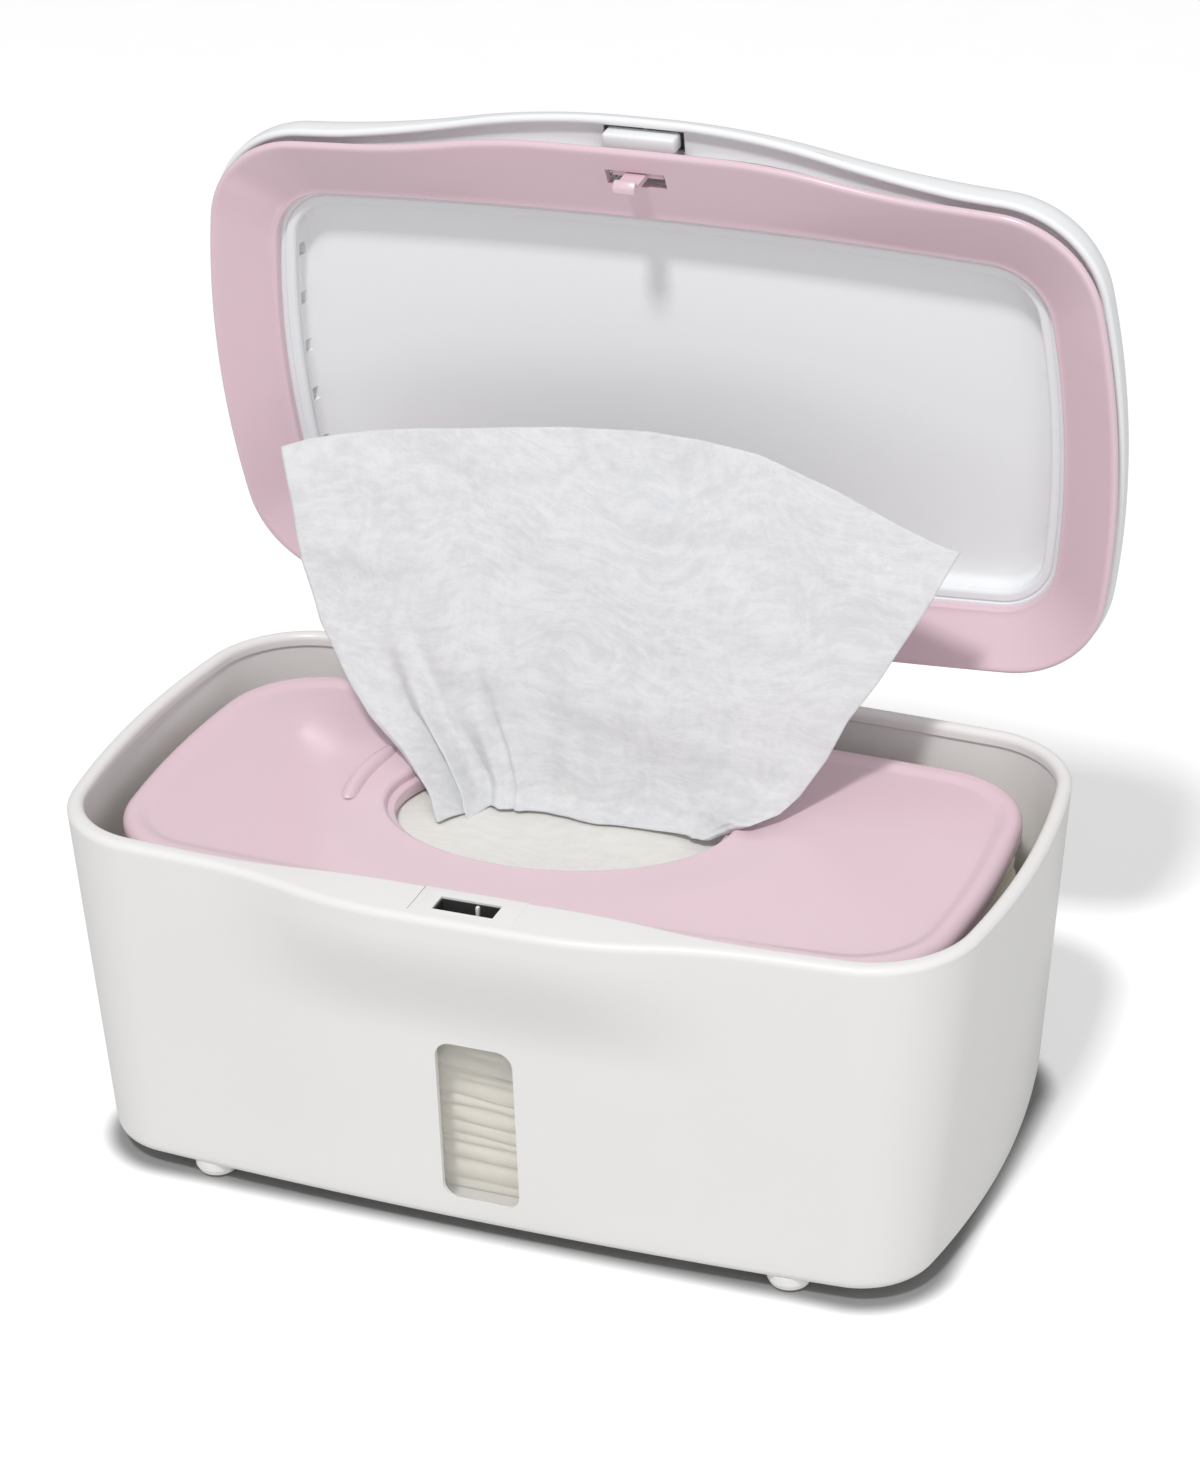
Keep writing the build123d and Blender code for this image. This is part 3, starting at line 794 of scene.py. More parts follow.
def arc_rings(
    loop: Loop, radius: float, z: float, angles: Points, inset: float = 0.0, side: int = 1
) -> list[Ring]:
    """Rings that round an edge.

    Args:
        loop: the plan that the rounding touches.
        radius: its radius.
        z: height of its centre.
        angles: angles of the rings above the level of the centre.
        inset: how far inside the loop it starts.
        side: 1 where it turns inwards, -1 where it turns outwards.

    Returns:
        A ring for each angle.
    """
    return [(loop.inset(inset + side * radius * (1 - math.cos(a))), z + radius * math.sin(a)) for a in angles]


def prism(name: str, face: Points, low: float, high: float, axis: int = 0) -> bpy.types.Object:
    """A solid with the same view all along X or Y.

    Args:
        name: the piece's name.
        face: (n, 2) points of the view, in Y and Z or in X and Z.
        low: where it starts on the axis.
        high: where it ends.
        axis: 0 for X, 1 for Y.

    Returns:
        The object.
    """
    n = len(face)
    ends = np.vstack([np.insert(np.asarray(face, float), axis, at, axis=1) for at in (low, high)])
    sides = [(i, (i + 1) % n, n + (i + 1) % n, n + i) for i in range(n)]
    return make_mesh(name, ends, [tuple(range(n)), tuple(range(n, 2 * n)), *sides])


def stand_for(piece: bpy.types.Object, finish: Finish, body: str, node: str) -> bpy.types.Object:
    """Dress a piece, let it ride on a body and show it in place of a CAD node.

    Args:
        piece: the piece.
        finish: its finish.
        body: the body.
        node: the node.

    Returns:
        The piece.
    """
    LOG.info("%s on %s: %d faces", piece.name, body, len(piece.data.polygons))
    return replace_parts(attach(finish.apply(piece), body), node)


def cad(name: str, finish: Finish) -> bpy.types.Object:
    """Dress a CAD node that keeps its shape.

    Args:
        name: the node.
        finish: its finish.

    Returns:
        The node's object.
    """
    LOG.info("%s: shape from the CAD", name)
    return finish.apply(FRAME["nodes"][name])


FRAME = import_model()


@dataclass
class Hinge:
    """The hinge line and the shape of its knuckles, in millimetres."""

    y: float = 69.4
    z: float = 93.6
    radius: float = 4.2
    open_angle: float = 83.7

    def knuckle(self, name: str, points: Sequence[Pair], spans: Sequence[Pair]) -> list[bpy.types.Object]:
        """Arms with round ends along the hinge line.

        Args:
            name: first part of their names.
            points: side view of the arm in Y and Z.
            spans: lowest and highest x of each.

        Returns:
            Two solids for each span.
        """
        made = []
        angles = np.linspace(0, 2 * math.pi, 33)[:-1]
        barrel = np.column_stack([self.y + self.radius * np.cos(angles), self.z + self.radius * np.sin(angles)])
        for number, (low, high) in enumerate(spans):
            made.append(prism(f"{name}_arm{number}", points, low, high))
            made.append(prism(f"{name}_barrel{number}", barrel, low, high))
        return made

    def open(self, piece: bpy.types.Object) -> bpy.types.Object:
        """Turn a lid piece that was made closed to where the lid stands open.

        Args:
            piece: the piece.

        Returns:
            The piece.
        """
        piece.data.transform(self._turn())
        piece.data.update()
        return piece

    def opened(self, point: Sequence[float]) -> Vector:
        """Where a point of the closed lid, in millimetres, lies on the open lid, in metres."""
        return self._turn() @ (Vector(point) * MM)

    def _turn(self) -> Matrix:
        """The lid's turn from closed to open.

        Returns:
            The matrix, in metres.
        """
        pivot = Vector((0.0, self.y * MM, self.z * MM))
        turn = Matrix.Rotation(math.radians(-self.open_angle), 4, "X")
        return Matrix.Translation(pivot) @ turn @ Matrix.Translation(-pivot)


@dataclass
class Tub:
    """The white tub with its window, catch and feet, in millimetres."""

    hinge: Hinge
    rim_z: float = 91.2
    base_z: float = 4.0
    floor_z: float = 7.0
    wall: float = 3.0
    swell: float = 6.5
    swell_low: float = 55.2
    swell_full: float = 85.2
    base_round: float = 3.0
    rim_outer_round: float = 1.9
    rim_inner_round: float = 1.8
    lip_z: float = 87.7
    opening: Plan = field(default_factory=lambda: Plan(113.2, 58.7, 23.2, -3.8, 0.5))
    window: tuple[float, float] = (19.5, 43.5)
    window_z: float = 32.5

    def plan(self, z: float) -> Loop:
        """The outer wall's plan at a height.

        Args:
            z: the height.

        Returns:
            The loop.
        """
        t = (z - self.base_z) / (self.rim_z - self.base_z)
        rise = float(smooth(np.array((z - self.swell_low) / (self.swell_full - self.swell_low))))
        corner = 19.0 + 8.0 * t
        return Plan(109.5 + 7.5 * t, 61.5 + 1.5 * t, corner, self.swell * rise, -0.8 * (1 - t)).loop()

    def build(self) -> None:
        """Build the tub and dress its CAD pieces."""
        shell = self._shell()
        combine(shell, self._cutters(), Cut.AWAY)
        combine(shell, self._knuckles(), Cut.ONTO)
        stand_for(shell, Finish.TUB, "tub", "tub_shell")
        self._catch()
        cad("window_pane", Finish.WINDOW)
        self._socket()
        for side in ("front_left", "front_right", "back_left", "back_right"):
            cad(f"foot_{side}", Finish.FEET)
        cad("hinge_pin", Finish.STEEL)
        cad("hinge_spring", Finish.STEEL)

    def _shell(self) -> bpy.types.Object:
        """The tub's wall, rim, ledge and floor as one closed skin."""
        rings: list[Ring] = []
        r = self.base_round
        base = self.plan(self.base_z)
        rings.append((base.inset(r + 14), self.base_z))
        rings += arc_rings(base, r, self.base_z + r, np.linspace(-QUARTER, 0, 9))
        ro = self.rim_outer_round
        levels = [*np.linspace(9, self.swell_low, 12), *np.linspace(self.swell_low, self.rim_z - ro, 34)[1:]]
        rings += [(self.plan(z).points, z) for z in levels]
        rings += arc_rings(self.plan(self.rim_z), ro, self.rim_z - ro, np.linspace(0, QUARTER, 9)[1:])
        mouth = self.opening.loop()
        ri = self.rim_inner_round
        for a in np.linspace(0, QUARTER, 9):
            rings.append((mouth.inset(-ri * (1 - math.sin(a))), self.rim_z - ri * (1 - math.cos(a))))
        rings.append((mouth.points, self.lip_z + 0.4))
        rings.append((mouth.inset(-0.4), self.lip_z))
        inner = [*np.linspace(self.lip_z, self.swell_low, 26), *np.linspace(self.swell_low, self.floor_z + 2, 9)[1:]]
        rings += [(self.plan(z).inset(self.wall), z) for z in inner]
        for a in np.linspace(0, QUARTER, 6)[1:]:
            z = self.floor_z + 2 * (1 - math.sin(a))
            rings.append((self.plan(z).inset(self.wall + 2 * (1 - math.cos(a))), z))
        return skin("tub_body", rings)

    def _cutters(self) -> list[bpy.types.Object]:
        """Solids that are cut out of the wall.

        Returns:
            The window hole, the pane's seat and the catch's seat.
        """
        width, height = self.window
        hole = rounded_rectangle(width, height, 4.0) + [0, self.window_z]
        seat = rounded_rectangle(width + 6.6, height + 6.6, 7.3) + [0, self.window_z]
        return [
            prism("window_hole", hole, -80, -40, axis=1),
            prism("pane_seat", seat, -61.15, -56, axis=1),
            soft_box("catch_seat", (-12.88, -66.2, 86.7), (12.88, -48.0, 94.0)),
        ]

    def _knuckles(self) -> list[bpy.types.Object]:
        """Hinge arms on the back of the tub.

        Returns:
            Their solids.
        """
        h = self.hinge
        arm = [
            (61.5, 78.2),
            (61.5, 89.2),
            (h.y - h.radius, h.z - 1),
            (h.y, h.z),
            (h.y + 3.8, h.z - 1.5),
            (h.y - 1, h.z - 7),
        ]
        return h.knuckle("tub_hinge", arm, [(-41, -31), (31, 41), (-20, 20)])

    def _socket(self) -> None:
        """The box under the cap, with a sleeve that lines the slot, in near black: painted shade for the slot's
        hollow.
        """
        box = soft_box("latch_socket_box", (-12.75, -66.0, 82.2), (12.75, -55.1, 87.65), 0.2)
        combine(box, [soft_box("hollow", (-11.95, -65.4, 83.0), (11.95, -55.9, 89.0))], Cut.AWAY)
        sleeve = soft_box("sleeve", (-7.48, -64.28, 83.4), (7.48, -58.52, 90.6))
        combine(sleeve, [soft_box("mouth", (-7.1, -70.0, 83.0), (7.1, -58.9, 92.0))], Cut.AWAY)
        combine(box, [sleeve], Cut.ONTO)
        # Near-black finish: painted shade inside the slot.
        stand_for(box, Finish.DARK, "tub", "latch_socket")

    def _catch(self) -> None:
        """The cap in the ledge, with its slot."""
        cap = soft_box("latch_catch_cap", (-12.8, -66.1, 87.7), (12.8, -55.1, 91.1), 0.1)
        slot = soft_box("slot", (-7.5, -64.3, 85.0), (7.5, -58.5, 93.0))
        under = soft_box("under", (-7.5, -65.4, 85.0), (7.5, -58.5, 88.7))
        combine(cap, [slot, under], Cut.AWAY)
        combine(cap, [soft_box("guide_rib", (1.3, -59.8, 87.8), (2.1, -58.3, 90.4), 0.15)], Cut.ONTO)
        stand_for(cap, Finish.TUB, "tub", "latch_catch")


@dataclass(frozen=True)
class Coil:
    """A return spring of the button, in millimetres."""

    front: float = -67.8
    seat: float = -59.65
    z: float = 99.6
    aside: float = 7.9
    radius: float = 0.85
    wire: float = 0.2
    turns: int = 7
    around: int = 8
    keep: float = 0.76


@dataclass
class Lid:
    """The lid, made closed in millimetres and then turned open."""

    hinge: Hinge
    frame_z: float = 91.7
    frame_thick: float = 2.2
    slope: float = 7.5
    top_z: float = 111.2
    shell_wall: float = 2.2
    lip_z: float = 95.9
    arch: float = 3.5
    arch_half: float = 78.0
    shell_round: float = 12.4
    step_rise: float = 0.8
    gasket_height: float = 2.2
    gasket_width: float = 4.0
    liner_wall: float = 1.5
    ring_inset: float = 4.5
    ring_wall: float = 2.0
    spring: Coil = field(default_factory=Coil)
    shell: Plan = field(default_factory=lambda: Plan(117.5, 65.8, 27.5, 6.9, -2.3, flat_half=6.0, foot_gap=2.0))

    @property
    def seat_z(self) -> float:
        """Height of the frame's edge, on which the gasket lies."""
        return self.frame_z + self.frame_thick + self.slope

    @property
    def inner_top(self) -> float:
        """Height of the shell's inner face."""
        return self.top_z - self.shell_wall

    @staticmethod
    def outer(inset: float = 0.0) -> Loop:
        """Plan of the frame's outside, smaller all round by inset."""
        return Plan(117.0 - inset, 64.8 - inset, 27.0 - inset, 4.0, -1.8, flat_half=22.0, foot_gap=14.0).loop()

    def mouth(self, grow: float = 0.0) -> Loop:
        """Plan of the frame's opening, larger all round by grow."""
        return Plan(102.0 + grow, 49.6 + grow, 16.0 + grow).loop()

    def build(self) -> None:
        """Build the lid's pieces."""
        self._frame()
        self._gasket()
        self._liner()
        self._shell()
        for name, side in (("left", -1), ("right", 1)):
            self._return_spring(name, side)

    def _return_spring(self, name: str, side: int) -> None:
        """A wire spring behind the button's head.

        Args:
            name: left or right.
            side: -1 or 1, the side of the middle it stands on.
        """
        coil = self.spring
        x = side * coil.aside
        axial = np.array([0.0, 1.0, 0.0])
        bends = np.linspace(0, 2 * math.pi, coil.around + 1)[:-1, None]
        start, end = coil.seat - coil.wire, coil.front + coil.wire
        sections = []
        for share in np.linspace(0, 1, coil.turns * 20 + 1):
            turn = 2 * math.pi * coil.turns * share
            out = np.array([math.cos(turn), 0.0, math.sin(turn)])
            middle = np.array([x, start + (end - start) * share, coil.z]) + coil.radius * out
            sections.append(middle + coil.wire * (np.cos(bends) * out + np.sin(bends) * axial))
        spring = tube(f"return_spring_{name}", sections, 60.0)
        self._place(spring, Finish.STEEL, f"button_spring_{name}")
        anchor = self.hinge.opened((x, coil.seat, coil.z))
        axis = self.hinge.opened((x, coil.seat + 10.0, coil.z)) - anchor
        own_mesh(spring)

    def _place(self, piece: bpy.types.Object, finish: Finish, node: str) -> None:
        """Turn a piece open, dress it and put it on the lid."""
        stand_for(self.hinge.open(piece), finish, "lid", node)

    def _frame(self) -> None:
        """The pink frame: a sloping band from the rim's outline to the opening."""
        outer = self.outer()
        mouth = self.mouth()
        bottom, top = self.frame_z, self.frame_z + self.frame_thick
        rings: list[Ring] = []
        edge = 1.1
        rings += arc_rings(outer, edge, (bottom + top) / 2, np.linspace(QUARTER, -QUARTER, 13))
        gap = mouth.points - outer.points
        start = outer.inset(edge)
        for t in np.linspace(0.06, 0.96, 14):
            plan = start + (mouth.inset(-0.6) - start) * t
            rings.append((plan, bottom + self.slope * (0.96 * t + 0.04 * t * t)))
        for a in np.linspace(0, QUARTER, 6):
            z = bottom + self.slope + 0.6 * (1 - math.cos(a)) - 0.15
            rings.append((mouth.inset(-0.6 * (1 - math.sin(a))), z))
        rings.append((mouth.points, self.seat_z))
        rings.append((mouth.inset(-3.0), self.seat_z))
        for t in np.linspace(0.85, 0.05, 8):
            rings.append((outer.points + gap * t, top + self.slope * t))
        frame = skin("lid_frame_band", rings, caps=False)
        slot = soft_box("frame_slot", (-7.5, -64.4, 86.0), (7.5, -59.9, 106.0))
        combine(frame, [slot], Cut.AWAY, 50.0)
        self._place(frame, Finish.PINK, "lid_frame")

    def _gasket(self) -> None:
        """The soft ring: a flat band with a round bead on its inner edge."""
        rings: list[Ring] = []
        low = self.seat_z
        high = low + self.gasket_height
        inner = self.mouth(-self.gasket_width)
        r = self.gasket_height / 2
        rings += arc_rings(inner, r, low + r, np.linspace(-QUARTER, QUARTER, 11), side=-1)
        rings.append((self.mouth(1.2).points, high))
        rings.append((self.mouth(1.2).points, low))
        rings.append((self.mouth(-0.6).points, low))
        rings.append((self.mouth(-1.1).points, low + 0.45))
        rings.append((self.mouth(-1.6).points, low))
        self._place(skin("lid_gasket_ring", rings, 40.0, caps=False), Finish.GASKET, "lid_gasket")

    def _liner(self) -> None:
        """The white tray with its notched side walls, and the ring that closes the gap."""
        cavity = self.mouth(0.3 - self.gasket_width)
        rebate = self.mouth(1.5)
        outer = self.mouth(3.0)
        ring_out = self.outer(self.ring_inset)
        ring_in = self.outer(self.ring_inset + self.ring_wall)
        rebate_z = self.seat_z + self.gasket_height
        shelf = rebate_z + self.liner_wall
        top = self.inner_top - 0.3
        floor = top - self.liner_wall
        ring_z = self.seat_z - self.slope / 2 + 0.3
        rings: list[Ring] = [(outer.inset(3.0), top)]
        rings += [(outer.inset(0.4), top), (outer.points, top - 0.4), (outer.points, shelf)]
        rings += [(ring_out.inset(0.4), shelf), (ring_out.points, shelf - 0.4)]
        rings += [(ring_out.points, ring_z + 0.4), (ring_out.inset(0.4), ring_z)]
        rings += [(ring_in.inset(-0.4), ring_z), (ring_in.points, ring_z + 0.4), (ring_in.points, rebate_z)]
        rings += [(outer.points, rebate_z), (outer.points, self.seat_z), (rebate.points, self.seat_z)]
        rings += [(rebate.points, rebate_z), (cavity.inset(-0.3), rebate_z), (cavity.points, rebate_z + 0.3)]
        rings += arc_rings(cavity, 2.0, floor - 2.0, np.linspace(0, QUARTER, 8))
        rings.append((cavity.inset(6.0), floor))
        liner = skin("lid_liner_tray", rings, 40.0)
        cutters = [soft_box("button_gap", (-11.2, -80, ring_z - 2), (11.2, -59.6, rebate_z + 0.02))]
        for i in range(5):
            y = (i - 2) * 13.8
            for side in (-1, 1):
                low, high = sorted((side * 96.0, side * 99.3))
                cutters.append(soft_box("notch", (low, y - 1.7, rebate_z + 1.0), (high, y + 1.7, rebate_z + 3.2)))
        combine(liner, cutters, Cut.AWAY)
        seat = soft_box("spring_wall", (-11.2, -59.6, 98.6), (11.2, -58.1, rebate_z + 0.7), 0.2)
        combine(liner, [seat], Cut.ONTO)
        self._place(liner, Finish.LID, "lid_liner")

    def _lip(self, x: Points, y: Points) -> Points:
        """Height of the shell's lower edge, arched up in front.

        Args:
            x: where, across.
            y: where, in depth.

        Returns:
            The heights.
        """
        half = self.arch_half
        radius = (half**2 + self.arch**2) / (2 * self.arch)
        inside = np.clip(half**2 - x**2, 0, None)
        rise = np.sqrt(radius**2 - np.clip(np.abs(x), 0, half) ** 2) - (radius - self.arch)
        return self.lip_z + np.where((y < 0) & (inside > 0), rise, 0.0)

    @staticmethod
    def _round_inset(rise: Points, radius: float) -> Points:
        """How far a crown of a radius has come in at a rise above its foot."""
        return radius - np.sqrt(radius**2 - np.clip(rise, 0, radius) ** 2)

    def _shell(self) -> None:
        """The white outer shell with its rounded lip and crown, and its hinge arms."""
        outer = self.shell.loop()
        wall = self.shell_wall
        lip = self._lip(outer.points[:, 0], outer.points[:, 1])
        r = wall / 2
        crown = self.top_z - self.shell_round
        inner_round = self.shell_round - wall
        rings: list[Ring] = [(outer.inset(wall + inner_round + 4), self.inner_top)]
        for i, a in enumerate(np.linspace(0, QUARTER, 13)):
            z = np.maximum(crown + inner_round * math.cos(a), lip + r + 2.0 * self.step_rise + 0.3 - 0.02 * i)
            rings.append((outer.inset(wall + self._round_inset(z - crown, inner_round)), z))
        step = self.outer(self.ring_inset - 0.3).points
        for plan, rise in ((outer.inset(wall), 2.0), (step, 2.0), (step, 1.0), (outer.inset(wall), 1.0)):
            rings.append((plan, lip + r + rise * self.step_rise))
        for a in np.linspace(0, math.pi, 11):
            rings.append((outer.inset(r + r * math.cos(a)), lip + r * (1 - math.sin(a))))
        for t in (0.3, 0.6, 0.85):
            rings.append((outer.points, lip + r + (np.maximum(crown, lip + r + 0.02) - lip - r) * t))
        for i, a in enumerate(np.linspace(0, QUARTER, 17)):
            z = np.maximum(crown + self.shell_round * math.sin(a), lip + r + 0.03 + 0.01 * i)
            rings.append((outer.inset(self._round_inset(z - crown, self.shell_round)), z))
        rings.append((outer.inset(self.shell_round + 1.5), self.top_z))
        shell = skin("lid_outer_shell", rings)
        h = self.hinge
        arm = [(62.4, 97.9), (62.4, 102.9), (67.4, 101.9), (73.2, 95.6), (h.y, h.z), (66.0, 96.0)]
        combine(shell, [soft_box("button_room", (-10.2, -72.6, 95.0), (10.2, -60.0, 103.0))], Cut.AWAY, 50.0)
        combine(shell, h.knuckle("lid_hinge", arm, [(-30.5, -20.5), (20.5, 30.5)]), Cut.ONTO, 50.0)
        self._place(shell, Finish.LID, "lid_shell")


@dataclass
class Latch:
    """The press button and its hook, made closed in millimetres."""

    hinge: Hinge
    low: float = 97.1
    height: float = 5.0
    face: float = 71.9

    def build(self) -> None:
        """Build both pieces."""
        head = soft_box(
            "release_tab", (-9.2, -self.face, self.low), (9.2, -self.face + 4, self.low + self.height), 0.8
        )
        stem = soft_box("stem", (-5.5, -self.face + 3.5, self.low + 1.3), (5.5, -63.8, self.low + 3.7))
        rib = soft_box("rib", (-0.6, -self.face + 0.2, self.low + 4.0), (0.6, -66.8, self.low + 5.9), 0.2)
        combine(head, [stem, rib], Cut.ONTO)
        self.hinge.open(head)
        stand_for(head, Finish.LID, "latch", "release_button")
        bar = soft_box("latch_hook_bar", (-6.6, -63.8, 95.9), (6.6, -62.0, 102.1), 0.3)
        tongue = soft_box("tongue", (-2.75, -63.8, 86.1), (2.75, -62.0, 97.1), 0.5)
        side = [(-62.4, 86.1), (-63.8, 86.1), (-65.0, 87.2), (-65.0, 88.3), (-62.4, 88.3)]
        beak = prism("beak", side, -2.75, 2.75)
        soften(beak, 0.3, 2)
        combine(bar, [tongue, beak], Cut.ONTO)
        self.hinge.open(bar)
        stand_for(bar, Finish.PINK, "latch", "latch_hook")


@dataclass
class WeightedPlate:
    """The pink plate with its oval opening, in millimetres."""

    top: float = 84.6
    cover_low: float = 80.0
    base_low: float = 76.6
    edge: float = 2.4
    dish: float = 0.9
    funnel: float = 1.1
    funnel_reach: float = 20.0
    mouth_round: float = 1.6
    rib_centre: tuple[float, float] = (-4.35, 4.5)
    rib_radius: float = 52.0
    rib_angle: float = 16.0
    rib_sink: float = 0.35
    opening: Oval = field(default_factory=Oval)
    outline: Plan = field(default_factory=lambda: Plan(106.3, 51.3, 24.8))

    def build(self) -> None:
        """Build the plate's halves and dress its weights."""
        self._cover()
        self._base()
        for side in ("left", "right"):
            cad(f"plate_weight_{side}", Finish.STEEL)

    def _cover(self) -> None:
        """The glossy cover: raised round edge, dished top and soft funnel to the opening."""
        loop = self.outline.loop()
        angles = self.opening.matching(loop)
        rings: list[Ring] = [(loop.inset(0.5), self.cover_low)]
        rings.append((loop.points, self.cover_low + 0.5))
        e = self.edge
        rings += arc_rings(loop, e, self.top - e, np.linspace(0, QUARTER, 9))
        for t in np.linspace(0, 1, 8)[1:]:
            rings.append((loop.inset(e + 0.6 + 4.0 * t), self.top - self.dish * float(smooth(np.array(t)))))
        start = loop.inset(e + 4.6)
        level = self.top - self.dish
        m = self.mouth_round
        lip = self.opening.point(angles, m)
        for t in np.linspace(0, 1, 30)[1:]:
            plan = start + (lip - start) * t
            away = np.linalg.norm(plan - lip, axis=1)
            rings.append((plan, level - self.funnel * smooth(1 - away / self.funnel_reach)))
        for a in np.linspace(0, QUARTER, 7)[1:]:
            z = level - self.funnel - m * (1 - math.cos(a))
            rings.append((self.opening.point(angles, m * (1 - math.sin(a))), z))
        rings.append((self.opening.point(angles), self.cover_low))
        cover = skin("plate_cover_top", rings, caps=False)
        combine(cover, [self._rib(level)], Cut.ONTO, 50.0)
        stand_for(cover, Finish.PINK, "weighted_plate", "plate_cover")

    def _rib(self, level: float) -> bpy.types.Object:
        """The short curved grip rib beside the opening.

        Args:
            level: height of the plate's face.

        Returns:
            The rib as a closed solid.
        """
        angles = np.radians(np.linspace(180 - self.rib_angle, 180 + self.rib_angle, 41))
        half = [(-2.3, -0.6), (-1.8, 0.3), (-1.0, 1.15)]
        profile = np.array([*half, (0.0, 1.4), *[(-x, z) for x, z in reversed(half)]])
        sections = []
        for i, a in enumerate(angles):
            fade = math.sqrt(max(0.0, 1 - (2 * i / (len(angles) - 1) - 1) ** 6)) * 0.98 + 0.02
            direction = np.array([math.cos(a), math.sin(a)])
            plan = self.rib_centre + direction * (self.rib_radius + fade * profile[:, :1])
            sections.append(np.column_stack([plan, level - self.rib_sink + fade * profile[:, 1]]))
        return tube("grip_rib", sections)

    def _base(self) -> None:
        """The lower half, whose steps show inside the opening."""
        loop = self.outline.loop()
        angles = self.opening.matching(loop)
        low, high = self.base_low, self.cover_low
        rings: list[Ring] = [(loop.inset(1.2), high), (loop.inset(1.2), low + 1.2)]
        rings += arc_rings(loop, 1.2, low + 1.2, np.linspace(0, -QUARTER, 5)[1:], inset=1.2)
        rings.append((self.opening.point(angles, -1.7), low))
        rings.append((self.opening.point(angles, -2.0), low + 0.3))
        rings.append((self.opening.point(angles, -2.0), high - 0.3))
        rings.append((self.opening.point(angles, -1.7), high))
        stand_for(skin("plate_base_ring", rings, caps=False), Finish.PINK, "weighted_plate", "plate_base")


